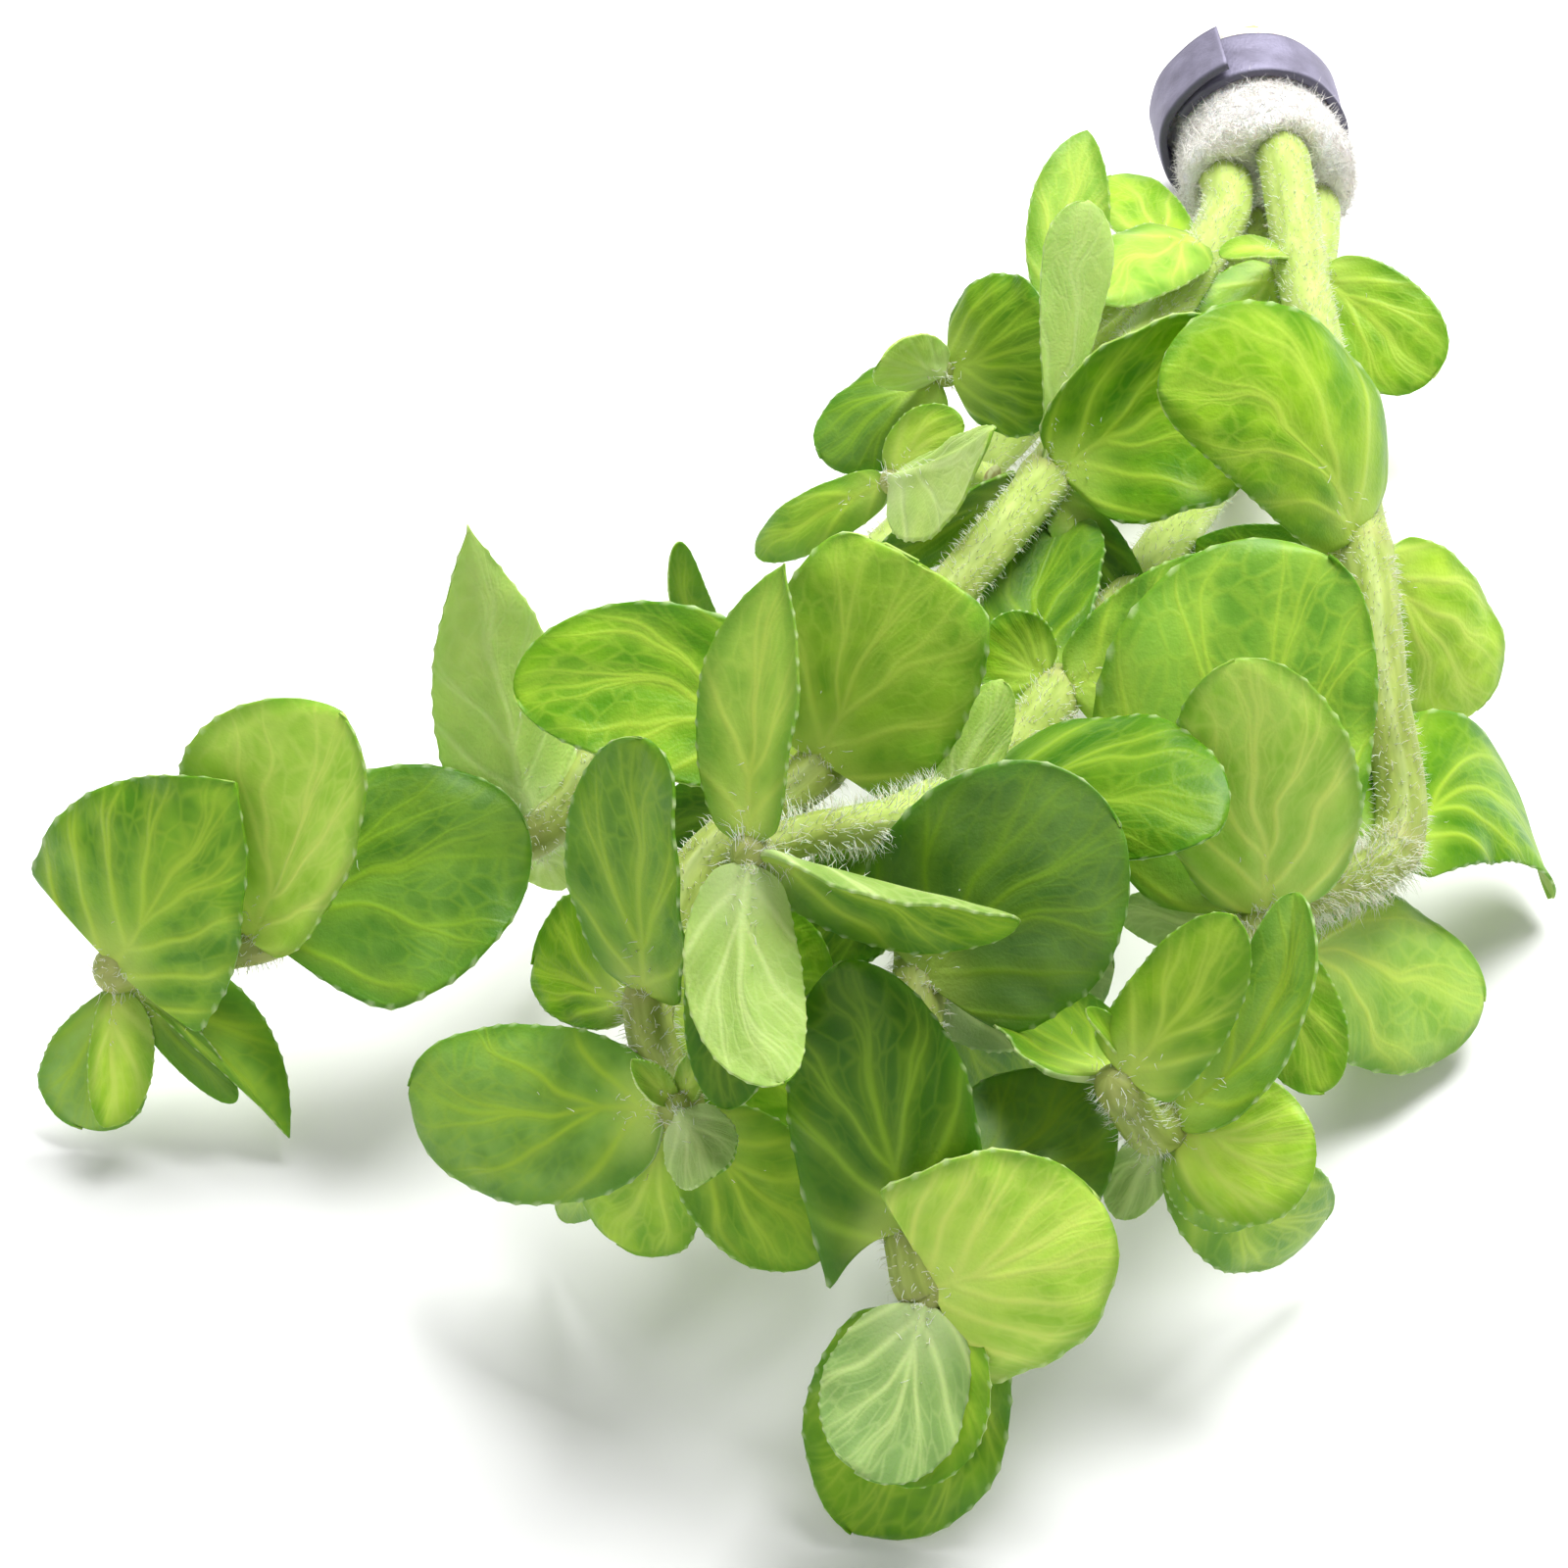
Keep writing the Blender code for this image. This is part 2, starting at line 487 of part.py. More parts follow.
def make_strip(group, finish):
    """The lead strip: a flat band wound a little over once round the foam, its outer end standing off."""

    def bend(x, y):
        turned = x * STRIP_TURN_DEGREES
        angle = np.radians(STRIP_START_DEGREES + turned)
        radius = strip_radius(turned)
        along = (y - 1) * STRIP_WIDTH
        return np.column_stack((radius * np.cos(angle), radius * np.sin(angle), along)) * METRE

    strip = add_object("lead_strip", bent_grid("lead_strip", 36, 1, bend), group, finish)
    strip.matrix_world = collar_matrix()
    thicken = strip.modifiers.new("thickness", "SOLIDIFY")
    thicken.thickness = STRIP_THICKNESS * METRE
    thicken.offset = 0
    return strip


def build():
    for left_over in list(bpy.data.objects):
        bpy.data.objects.remove(left_over)
    bunch = collection(OBJECT_NAME)
    helpers = collection("helpers")
    leaf_green = material("leaf_green", "#6f9a2b", 0.5)
    stem_green = material("stem_green", "#b3c47c", 0.6)
    make_foam(bunch, helpers, material("white_foam", "#ece6dc", 0.95))
    make_strip(bunch, material("lead", "#77748a", 0.5, 1.0))
    for stem in STEMS:
        solid = meshed(stem_curve(stem, bunch, stem_green))
        for leaf in SMALL_LEAVES:
            if leaf.branch == stem.name:
                grown = leaf_object(leaf, helpers, leaf_green, -FUSED_DEPTH)
                make_helper(grown)
                join(solid, grown, "UNION")
    for leaf in LEAVES:
        leaf_object(leaf, bunch, leaf_green, LEAF_CLEARANCE)


build()
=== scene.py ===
"""Looks of a bunch of variegated bacopa lanigera: leaves, hairy stems, foam plug and lead strip.

Tables and formulas that shape the plant repeat the part's own, in millimetres unless a name says otherwise.
"""

import math
from typing import NamedTuple

import bpy
import numpy as np
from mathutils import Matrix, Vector, noise


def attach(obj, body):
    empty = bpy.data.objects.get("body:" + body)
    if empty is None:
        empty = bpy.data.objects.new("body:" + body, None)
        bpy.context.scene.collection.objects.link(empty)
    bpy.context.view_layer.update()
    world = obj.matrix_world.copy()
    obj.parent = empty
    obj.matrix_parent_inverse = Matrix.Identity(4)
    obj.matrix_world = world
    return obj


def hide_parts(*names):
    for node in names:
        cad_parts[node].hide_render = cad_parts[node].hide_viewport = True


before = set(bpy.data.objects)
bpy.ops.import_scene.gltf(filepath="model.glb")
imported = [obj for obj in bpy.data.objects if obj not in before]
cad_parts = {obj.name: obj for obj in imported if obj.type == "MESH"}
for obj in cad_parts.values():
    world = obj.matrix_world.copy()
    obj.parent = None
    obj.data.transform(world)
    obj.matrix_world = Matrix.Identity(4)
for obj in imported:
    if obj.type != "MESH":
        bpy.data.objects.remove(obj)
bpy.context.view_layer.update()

METRE = 0.001

# The middle of the footprint in the tables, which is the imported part's origin
MIDDLE = np.array((3.0, 21.7, 0.0))

# The camera, and which ways are right, up and out of its picture
VIEW_ELEVATION = math.radians(48)
VIEW_DISTANCE = 391.0
VIEW_WIDTH_DEGREES = 22
VIEW_TARGET = np.array((0.0, 0.0, 20.0))
FACE_RIGHT = np.array((1.0, 0.0, 0.0))
FACE_UP = np.array((0.0, math.sin(VIEW_ELEVATION), math.cos(VIEW_ELEVATION)))
FACE_OUT = np.array((0.0, -math.cos(VIEW_ELEVATION), math.sin(VIEW_ELEVATION)))

# Foam plug and lead strip at the cut end
COLLAR_CENTRE = np.array((55.0, 107.0, 11.6))
COLLAR_AXIS = np.array((0.08, -0.99, 0.09)) / math.hypot(0.08, 0.99, 0.09)
COLLAR_RIGHT = np.array((0.99, 0.08, 0.0)) / math.hypot(0.99, 0.08)
COLLAR_UP = np.cross(COLLAR_AXIS, COLLAR_RIGHT)
FOAM_RADIUS = 9.4
FOAM_FRONT = 10.0
FOAM_BACK = -12.0
FOAM_ROUNDING = 2.4
FOAM_SWELL = 0.8
FOAM_DIMPLE = 1.6
FOAM_SIDES = 120
FOAM_THREADS = 6600
THREAD_RADIUS = 0.045
THREAD_LENGTHS = (0.8, 2.6)
STRIP_WIDTH = 8.0
STRIP_THICKNESS = 1.0
STRIP_RADIUS = 10.2
STRIP_LAYER = 1.3
STRIP_END_LIFT = 0.6
STRIP_START_DEGREES = 110
STRIP_TURN_DEGREES = 402
STRIP_ROUNDING = 0.3
STRIP_DENT = 0.28
STRIP_WAVER = 0.18
STRIP_STEPS = 220
CUT_END = -13.0
STEM_STRAIGHT = 1.0

# Leaves and stems
PETIOLE_WIDTH = 2.0
PETIOLE_LENGTH_RATIO = 0.05
LOBE_SPAN = 0.22
ROOT_DEPTH = 0.4
LEAF_ROWS = 56
LEAF_COLUMNS = 28
MIDRIB_THICKNESS = 0.6
RIM_THICKNESS = 0.28
RIM_WIDTH = 2.5
GROOVE_DEPTH = 0.22
RIB_HEIGHT = 0.55
RIB_WIDTH = 0.7
WAVE = 0.018
SWELLING = 0.16
TOOTH = 0.16
TOOTH_FULL_WIDTH = 14
STEM_STEPS = 14
STEM_SIDES = 36
STEM_END_DEGREES = (20, 40, 60, 75, 85)
NODE_REACH = 1.6
NODE_SWELL = 0.1
HAIR_RADIUS = 0.045
SHEET_UNIT = 40.0
VEIN_OPENING = 1.5

# The stage, in metres: each lamp's name, place, width and watts
TABLE_REACH = 3.0
LAMPS = (("top_lamp", (0.2, 0.35, 0.75), 0.5, 11.0), ("front_lamp", (-0.3, -0.6, 0.5), 0.8, 1.5))
LAMP_AIM = (0, 0, 0.02)
SKY_STRENGTH = 0.36


class Stem(NamedTuple):
    """A stem or side shoot. seat is its place in the collar, right and up of the axis, or None on a shoot.

    hairs is how many grow on a square millimetre. Between the two points of woolly they are long and dense.
    """

    name: str
    thick: float
    thin: float
    seat: tuple
    points: tuple
    hairs: float = 2.2
    hair_length: float = 1.0
    woolly: tuple = ()


class Leaf(NamedTuple):
    """A leaf on point number knot of its branch. face is the way its upper side looks: right, up and out.

    cup is how far its left and right halves curl, arch how far its length curls, both in degrees,
    bow how far its midrib swings right at mid length, and lift how far round the stem its base sits.
    lobe is how far its base reaches back beside the petiole, skew how much wider its right half is than its
    left, fold the angle in degrees to which its halves stand up from the midrib, and taper, over 1, draws
    its base out into a stalk.
    light runs from -1, deep green, to 1, yellow-green: partly the leaf's own tone, partly painted shade on
    leaves deep in the bunch and painted light on leaves in the open. blue is the amount of pale bluish wash:
    partly the leaf's wax and partly a painted sheen of reflected sky.
    """

    name: str
    branch: str
    knot: int
    tip: tuple
    face: tuple
    width: float
    cup: tuple = (0, 0)
    arch: float = 0
    bow: float = 0
    widest: float = 0.5
    point: float = 0.5
    neck: float = 0.3
    lift: float = 0
    lobe: float = 0
    skew: float = 0
    fold: float = 0
    taper: float = 1
    light: float = 0
    blue: float = 0


STEMS = (
    Stem("left_stem", 2.9, 2.2, (-1.8, -5.0), (
        (38, 78, 10), (13, 41, 14), (-5, 15, 18), (-17, 2, 22), (-24, -7, 21), (-43, -15, 19), (-50, -18, 18),
        (-63, -20, 16))),
    Stem("centre_stem", 2.9, 2.0, (-5.4, 1.9), (
        (46, 81, 17), (26, 32, 30), (16, 13, 33), (3, -11, 34), (-8, -23, 34), (-12, -37, 32),
        (-9, -48, 31))),
    Stem("front_stem", 2.9, 2.0, (5.0, -1.8), (
        (53, 67, 10), (26, 5, 27), (14, -19, 34), (12, -36, 33), (11, -57, 25), (12, -61, 22))),
    Stem("right_stem", 3.0, 2.0, (0.9, 5.2), (
        (57, 79, 18), (57, 53, 23), (58, 25, 27), (58, 7, 26), (58, -10, 22), (44, -23, 26), (34, -45, 25),
        (29, -47, 33)), woolly=(6, 8)),
    Stem("top_shoot", 2.1, 1.6, None, ((14, -19, 39), (9, -26, 44), (2, -32, 49), (-3, -36, 51)), hairs=4,
         hair_length=1.9),
    Stem("pale_shoot", 1.6, 1.3, None, ((21, 33, 29), (18, 35, 28), (11, 35, 27))),
    Stem("upper_shoot", 2.0, 1.5, None, ((41, 81, 18), (31, 66, 20), (17, 57, 22))),
)

LEAVES = (
    Leaf("left_leaf_1", "left_stem", 6, (-29, 3, 52), (-0.3, -0.3, -1), 14, (25, 25), 20, widest=0.25,
         point=1.15, neck=0.8, skew=-0.05, light=1, blue=0.3),
    Leaf("left_leaf_2", "left_stem", 8, (-40, -13, 44), (-0.1, 0.4, 1), 19.4, (15, 15), 25, 1, widest=0.55,
         neck=0.25, lift=6, skew=-0.32, light=1, blue=0.3),
    Leaf("left_leaf_3", "left_stem", 8, (-24, -12, 27), (-0.3, 0.1, 1), 23, (-5, 15), 10, -0.6, widest=0.45,
         neck=0.05, lift=-0.26, skew=0.14, taper=2.5, light=-0.7, blue=0.2),
    Leaf("left_leaf_4", "left_stem", 9, (-50, -16, 38), (0, 0.3, 1), 23.5, (-10, -15), 20, widest=0.2,
         point=0.9, neck=0.95, lift=1.4, lobe=0.05, skew=-0.12, blue=0.1),
    Leaf("left_leaf_5", "left_stem", 9, (-67, -28, 2), (0, 0, 1), 10.5, (-10, -10), 15, widest=0.7, neck=0.05,
         taper=2, light=-0.2, blue=0.8),
    Leaf("left_leaf_6", "left_stem", 9, (-47, -30, 3), (0.9, 0.2, 1), 7.5, (10, -20), 20, -0.5, widest=0.33,
         point=0.9, neck=0.5, lift=-0.5, skew=-0.7, blue=0.3),
    Leaf("centre_leaf_1", "centre_stem", 3, (30, 49, 52), (-0.5, 0, -1), 8, (20, 20), -20, widest=0.8,
         neck=0.05, taper=3, light=1, blue=0.35),
    Leaf("centre_leaf_2", "centre_stem", 3, (47, 39, 40), (0.2, 0, 1), 21.4, (50, 50), 10, -1, widest=0.6,
         neck=0.25, lift=0.2, skew=0.2, light=-0.1),
    Leaf("centre_leaf_3", "centre_stem", 3, (9, 27, 23), (0.6, -0.4, 1), 7, (20, 40), neck=0.6, light=-0.6),
    Leaf("centre_leaf_4", "centre_stem", 5, (12, -4, 54), (-0.1, 0.1, 1), 20.5, (15, 15), 25, point=0.15,
         neck=0.7, lobe=0.05, skew=0.05, light=0.4, blue=0.1),
    Leaf("centre_leaf_5", "centre_stem", 5, (-25, -5, 38), (-0.1, 0.2, 1), 16.5, (15, 15), 25, 3.5,
         widest=0.45, skew=-0.03, light=0.1),
    Leaf("centre_leaf_6", "centre_stem", 7, (-12, -29, 58), (-0.5, 0.1, 0.8), 15, (15, 45), 15, light=-0.3,
         blue=0.1),
    Leaf("centre_leaf_7", "centre_stem", 7, (-23, -26, 24), (-0.4, 0, 1), 12, (30, 10), 10, neck=0.1,
         lift=0.4, skew=0.4, light=-0.1),
    Leaf("centre_leaf_8", "centre_stem", 7, (5, -28, 20), (-0.2, 0.1, 1), 22, (20, 20), 10, 0.5, light=-0.5),
    Leaf("centre_leaf_9", "centre_stem", 8, (-34, -37, 20), (-1.3, 0.2, 1), 16.2, (-20, -20), 15, -1,
         neck=0.15, lift=0.9, skew=-0.05, light=-0.4, blue=0.4),
    Leaf("centre_leaf_10", "centre_stem", 8, (-15, -50, 14), (-0.1, 0.1, 1), 12, (-15, -15), 20, widest=0.65,
         neck=0.1, light=0.3),
    Leaf("centre_leaf_11", "centre_stem", 8, (4, -53, 17), (-0.1, 0.3, 1), 12, (-5, -15), 20, 0.5, neck=0.2,
         light=0.1, blue=0.2),
    Leaf("centre_leaf_12", "centre_stem", 2, (33, 60, 29.5), (0.1, 0.5, 1), 10, (5, -10), 32, neck=0.1,
         lift=1.2, taper=1.4, light=0.5, blue=0.3),
    Leaf("upper_leaf_1", "upper_shoot", 1, (33, 85, 32), (0, 0.2, 1), 9, (20, 20), 0, -1, point=0.75,
         light=0.6, blue=0.4),
    Leaf("upper_leaf_2", "upper_shoot", 2, (28, 53, 30), (0, 0, 1), 18, (-30, -30), 30, point=0.35,
         light=-0.5),
    Leaf("upper_leaf_3", "upper_shoot", 2, (4, 50, 16), (-0.2, 0.2, 1), 11, (-30, -30), 20, lift=-0.2,
         light=-0.8, blue=0.2),
    Leaf("pale_leaf_1", "pale_shoot", 2, (20, 22, 46), (-0.2, -0.2, -1), 11, (0, 10), 15, neck=0.1, lift=0.8,
         skew=-0.55, light=0.6, blue=0.1),
    Leaf("pale_leaf_2", "pale_shoot", 2, (-3, 38, 14), (-0.2, 0.2, 1), 6.5, (-20, -20), 20, light=0.1,
         blue=0.1),
    Leaf("front_leaf_1", "front_stem", 3, (45, 12, 38), (-0.3, 0.1, 1), 13.5, (10, 10), 25, 1, skew=0.1,
         light=0.1, blue=0.2),
    Leaf("front_leaf_2", "front_stem", 3, (30, 30, 27), (-0.5, 2.3, 1), 13, (80, 10), 0, -2.5, neck=0.1,
         lift=-0.1, light=-0.7, blue=0.1),
    Leaf("front_leaf_3", "front_stem", 4, (38, -29, 46), (-0.1, 0.6, 1), 18, (-20, -35), 45, -2, widest=0.35,
         neck=0.2, lift=-0.2, skew=-0.25, light=-0.5),
    Leaf("front_leaf_4", "front_stem", 5, (29, -32, 50), (0.3, 0.5, 1), 22.5, (25, -25), 25, -1.5,
         widest=0.45, neck=0.6, lift=1.2, light=-0.9, blue=0.25),
    Leaf("front_leaf_5", "front_stem", 5, (24, -30, 14), (0, 0.1, 1), 14, lift=-0.3, light=-0.3, blue=0.1),
    Leaf("front_leaf_6", "front_stem", 5, (30, -28, 26), (-0.4, 0.2, -1), 13, lift=0.1, light=-0.3, blue=0.6),
    Leaf("front_leaf_7", "front_stem", 6, (5, -42, 44), (-0.1, 0.1, 1), 16.5, (-25, -25), 20, 0.8, widest=0.4,
         point=0.6, neck=0.8, lift=0.3, lobe=0.3, skew=-0.08, light=-0.8),
    Leaf("front_leaf_8", "front_stem", 6, (26, -40, 26), (-0.2, 0.2, 1), 16, (-20, -20), 20, 1.5, neck=0.6,
         lift=-0.5, light=-0.6, blue=0.3),
    Leaf("front_leaf_9", "front_stem", 7, (27, -57, 30), (0.2, 0.1, 1), 21, (20, -30), 40, 0.5, widest=0.25,
         point=0.45, neck=0.95, lift=0.8, lobe=0.06, light=0.9, blue=0.25),
    Leaf("front_leaf_10", "front_stem", 7, (6, -77, 19), (0, 0, -1), 13, (25, 25), 20, 1, neck=0.2, lift=0.7,
         light=-0.6, blue=0.3),
    Leaf("front_leaf_11", "front_stem", 7, (9, -73, 11), (0, 0.1, 1), 13, (15, 15), 10, -1, lift=0.1),
    Leaf("front_leaf_12", "front_stem", 7, (6, -72, 1), (0, 0.1, 1), 18, (-10, -10), 15, -1.8, point=0.6,
         lift=-0.5, lobe=0.05, light=-0.2),
    Leaf("top_leaf_1", "top_shoot", 3, (0, -22, 72), (-0.4, 0, 0.8), 9.5, (20, 20), 10, -1, point=1,
         skew=-0.06, light=0.5, blue=0.3),
    Leaf("top_leaf_2", "top_shoot", 3, (0, -56, 45), (0, -0.3, -1), 10, (10, 20), 15, -2, lift=0.2, light=0.2,
         blue=0.2),
    Leaf("top_leaf_3", "top_shoot", 3, (-5, -51, 35), (-0.3, 0, 1), 9, (20, 20), light=-0.6),
    Leaf("top_leaf_4", "top_shoot", 3, (20, -41, 48), (0.6, -1, 0.4), 13, (60, 50), 0, 0.5, neck=0.2,
         lift=0.8, light=-0.2, blue=0.1),
    Leaf("right_leaf_1", "right_stem", 2, (71, 67, 12), (0.1, -0.2, 1), 12.5, (0, 10), 10, widest=0.55,
         point=0.4, neck=0.2, light=0.3),
    Leaf("right_leaf_2", "right_stem", 4, (36, 26, 48), (0.1, 0.1, 1), 20, (-25, -25), 40, 4, widest=0.45,
         skew=0.25, light=0.25),
    Leaf("right_leaf_3", "right_stem", 4, (71, 21, 8), (0.1, 0.1, 1), 15.2, (-30, -30), 30, -0.5, widest=0.58,
         point=0.4, skew=-0.06, light=0.7),
    Leaf("right_leaf_4", "right_stem", 6, (77, 0, 3), (-0.4, 0.4, 1), 16.5, (10, -20), 65, -7.5, widest=0.42,
         point=0.8, lift=-1.7, lobe=0.1, skew=-0.1, light=-0.1),
    Leaf("right_leaf_5", "right_stem", 7, (40, -14, 52), (-0.1, 0.4, 1), 18, (-45, -15), 25, 0.5, widest=0.4,
         neck=0.2, lift=1.1, skew=0.05, light=1, blue=0.45),
    Leaf("right_leaf_6", "right_stem", 7, (50, 2, 49), (0, 0.1, 1), 26, (-10, -10), 20, -3, widest=0.48,
         skew=-0.2, light=0.1, blue=0.25),
    Leaf("right_leaf_7", "right_stem", 7, (68, -15, 5), (-0.1, 0.3, 1), 18, (-20, -30), -5, -1, widest=0.58,
         neck=0.1, lift=-1.9, skew=0.12, taper=1.5, light=0.5, blue=0.55),
    Leaf("right_leaf_8", "right_stem", 9, (38, -42, 50), (-0.2, 0.1, 1), 9.8, (-15, -15), 15, 0.5,
         widest=0.38, neck=0.8, lift=0.3, light=0.2),
    Leaf("right_leaf_9", "right_stem", 9, (22, -33, 29), (0.3, 0.3, 0.7), 13, (20, 20), neck=0.6, skew=-0.2,
         light=-0.4, blue=0.1),
    Leaf("right_leaf_10", "right_stem", 8, (44, -36, 46), (-0.5, 0.2, 0.8), 9, (15, 15), 10, 4, fold=12,
         light=0.1, blue=0.5),
    Leaf("right_leaf_11", "right_stem", 8, (46, -50, 30), (0, 0.1, 1), 13.3, (-10, -10), 20, 1, lift=0.5,
         skew=0.12, light=0.8),
    Leaf("right_leaf_12", "right_stem", 8, (50, -42, 6.5), (0.3, -0.3, 1), 12.5, (-20, -10), 48, 1,
         widest=0.55, neck=0.1, lift=-0.2, skew=0.15, taper=1.3, light=0.2, blue=0.1),
)

# The smallest leaves, each grown in one piece with its stem
SMALL_LEAVES = (
    Leaf("left_small_1", "left_stem", 6, (-22, -4, 9), (0, 0.3, -1), 6, (25, 25), light=0.3),
    Leaf("left_small_2", "left_stem", 4, (-10, 13, 40), (0, 0.2, 1), 4.2, (20, 20), 0, -1.5, light=0.1),
    Leaf("centre_small_1", "centre_stem", 2, (38, 104, 10), (0, 0.2, 1), 8.5, (10, 10), light=0.5),
    Leaf("centre_small_2", "centre_stem", 8, (-6, -59, 36), (0, 0.1, -1), 7, (20, 20), 10, lift=0.7,
         light=0.2, blue=0.4),
    Leaf("upper_small_1", "upper_shoot", 2, (10, 50, 30), (0, 0.5, -1), 7.5, (20, 20), lift=0.3, light=0.6),
    Leaf("pale_small_1", "pale_shoot", 2, (18, 36, 34), (0, 0.2, 1), 7, (0, 0), 20, -1, lift=0.3, light=0.6),
    Leaf("front_small_1", "front_stem", 3, (19, 7, 34), (0, 0.2, 1), 9, (20, 20), lift=0.3, light=-0.2),
    Leaf("front_small_2", "front_stem", 4, (20, -9, 44), (0, 0.2, -1), 6, (20, 20), light=0.5, blue=0.1),
    Leaf("right_small_1", "right_stem", 7, (32, -13, 16), (0, 0.1, -1), 6, blue=0.4),
    Leaf("right_small_2", "right_stem", 8, (42, -49, 16), (0, 0.1, 1), 9, (-10, -10), 15, lift=0.5, blue=0.5),
    Leaf("right_small_3", "right_stem", 8, (30, -48, 15), (0, 0.1, -1), 5.5, (20, 20), lift=-0.5, light=-0.2,
         blue=0.3),
    Leaf("right_small_4", "right_stem", 7, (50, -33, 14), (0, 0.1, 1), 9, lift=-0.7, light=0.3),
)

# Buds and slivers of leaves seen between the others, which no solid stands for. The dark slivers and most
# shaded leaves are set deep green by their light, as painted shade for the shade inside the bunch
SLIVERS = (
    Leaf("left_axil_bud_1", "left_stem", 8, (-47, -13, 26), (-0.2, 0.2, 1), 3, (20, 20), 10, light=0.5),
    Leaf("left_axil_bud_2", "left_stem", 8, (-42, -19, 25), (0.2, -0.2, 1), 2.6, (20, 20), 10, light=0.4),
    Leaf("left_dark_sliver", "left_stem", 9, (-52, -28, 6), (-0.3, 0.3, 1), 4.2, (20, 20), light=-0.8,
         blue=0.3),
    Leaf("centre_axil_bud", "centre_stem", 8, (-7, -47, 38), (0, 0.5, 1), 3, (40, 40), 20, light=0.4),
    Leaf("right_hairy_bud", "right_stem", 8, (26, -44, 40), (0.3, 0.3, 1), 3.4, (60, 60), 30, light=0.2),
    Leaf("left_bright_leaf", "left_stem", 9, (-64, -31, 6), (0.3, 0.2, 1), 6.2, (15, 15), 15, neck=0.1,
         skew=-0.3, light=0.8),
    Leaf("centre_pointed_bud", "centre_stem", 8, (-13, -48, 38), (-0.2, 0.3, 1), 3, (40, 40), 15, point=0.8,
         light=0.3),
    Leaf("centre_dark_tip", "centre_stem", 8, (-5, -51, 20), (0, 0.2, 1), 4.2, (15, 15), 10, point=0.9,
         light=-0.8),
    Leaf("centre_pale_tip", "centre_stem", 8, (-21, -41, 6), (-0.3, 0.1, 1), 6, (-10, -10), 10, light=0.5,
         blue=0.4),
    Leaf("shaded_leaf_1", "centre_stem", 5, (-13, -9, 21), (-0.2, 0.2, 1), 9, (10, 10), 10, light=-0.9),
    Leaf("shaded_leaf_2", "front_stem", 4, (0, -22, 20), (-0.1, 0.2, 1), 11, (10, 10), 10, light=-0.9),
    Leaf("shaded_leaf_3", "centre_stem", 3, (36, 20, 20), (0.2, 0.2, 1), 7, (10, 10), 10, light=-0.9),
    Leaf("shaded_leaf_4", "front_stem", 5, (1, -31, 11), (-0.2, 0.2, 1), 7.5, (10, 10), 10, light=-0.9),
    Leaf("shaded_leaf_5", "right_stem", 4, (41, 35, 16), (-0.2, 0.2, 1), 7, (10, 10), 10, light=-0.8),
    Leaf("shaded_leaf_6", "centre_stem", 3, (35, 50, 24), (0.3, 0.2, 1), 6.5, (10, 10), 10, light=-0.9),
    Leaf("shaded_leaf_7", "right_stem", 2, (43, 64, 13), (-0.2, 0.2, 1), 11, (10, 10), 10, light=0.3),
    Leaf("collar_bud", "right_stem", 2, (47, 71, 26), (-0.2, 0.4, 1), 4, (30, 30), 25, light=0.6),
)
LEAF_PIECES = LEAVES + SMALL_LEAVES + SLIVERS


def unit(vector):
    return vector / np.linalg.norm(vector)


def units(vectors):
    return vectors / np.maximum(np.linalg.norm(vectors, axis=-1, keepdims=True), 1e-9)


def placed(points):
    """Points of the tables, in metres about the middle of the footprint."""
    return (np.asarray(points, float) - MIDDLE) * METRE


def seed_of(name):
    """A number from 0 to 1 that stays the same for a name."""
    return (sum((i + 7) * ord(letter) for i, letter in enumerate(name)) * 137) % 1009 / 1009


def smoothed(value, low, high):
    t = np.clip((value - low) / (high - low), 0, 1)
    return t * t * (3 - 2 * t)


def collar_point(right, up, along):
    return COLLAR_CENTRE + COLLAR_RIGHT * right + COLLAR_UP * up + COLLAR_AXIS * along


def stem_knots(stem):
    """The points a stem's leaves are counted on, starting in the collar."""
    points = [np.array(point, float) for point in stem.points]
    if stem.seat:
        points = [collar_point(*stem.seat, along) for along in (CUT_END, FOAM_FRONT + STEM_STRAIGHT)] + points
    return points


def smooth_path(points, before, steps):
    """A smooth curve through the points, which sets off in line with the point before them."""
    points = [before] + list(points) + [points[-1]]
    path = []
    for a, b, c, d in zip(points, points[1:], points[2:], points[3:]):
        for t in np.arange(steps) / steps:
            path.append(0.5 * (2 * b + (c - a) * t + (2 * a - 5 * b + 4 * c - d) * t**2
                               + (3 * b - a - 3 * c + d) * t**3))
    return path + [points[-1]]


def leaf_base(leaf, depth):
    """Where a leaf leaves the surface of its stem: at right angles to it, or straight on from its end."""
    stem = next(stem for stem in STEMS if stem.name == leaf.branch)
    knots = stem_knots(stem)
    last = len(knots) - 1
    along = unit(knots[min(leaf.knot + 1, last)] - knots[max(leaf.knot - 1, 0)])
    way = unit(np.array(leaf.tip) - knots[leaf.knot])
    for turn in (0, leaf.lift):
        way = way + FACE_OUT * turn
        if leaf.knot < last:
            way = way - along * (way @ along)
        way = unit(way)
    radius = stem.thick + (stem.thin - stem.thick) * leaf.knot / last
    return knots[leaf.knot] + way * (radius + depth)


def leaf_half_width(leaf, u):
    """Half the width at u along the leaf: a narrow petiole, then a neck that swells to an oval."""
    rise = np.sqrt(np.clip(1 - ((u - leaf.widest) / leaf.widest) ** 2, 0, 1))
    fall = np.clip(1 - (np.clip(u - leaf.widest, 0, 1) / (1 - leaf.widest)) ** 2, 0, 1) ** leaf.point
    blade = np.where(u < leaf.widest, leaf.neck + (1 - leaf.neck) * rise**leaf.taper, fall)
    petiole = PETIOLE_WIDTH / leaf.width
    opened = np.sqrt(1 - (1 - np.clip(u / PETIOLE_LENGTH_RATIO, 0, 1)) ** 2)
    return np.maximum(leaf.width / 2 * (petiole + (blade - petiole) * opened), 0.03)


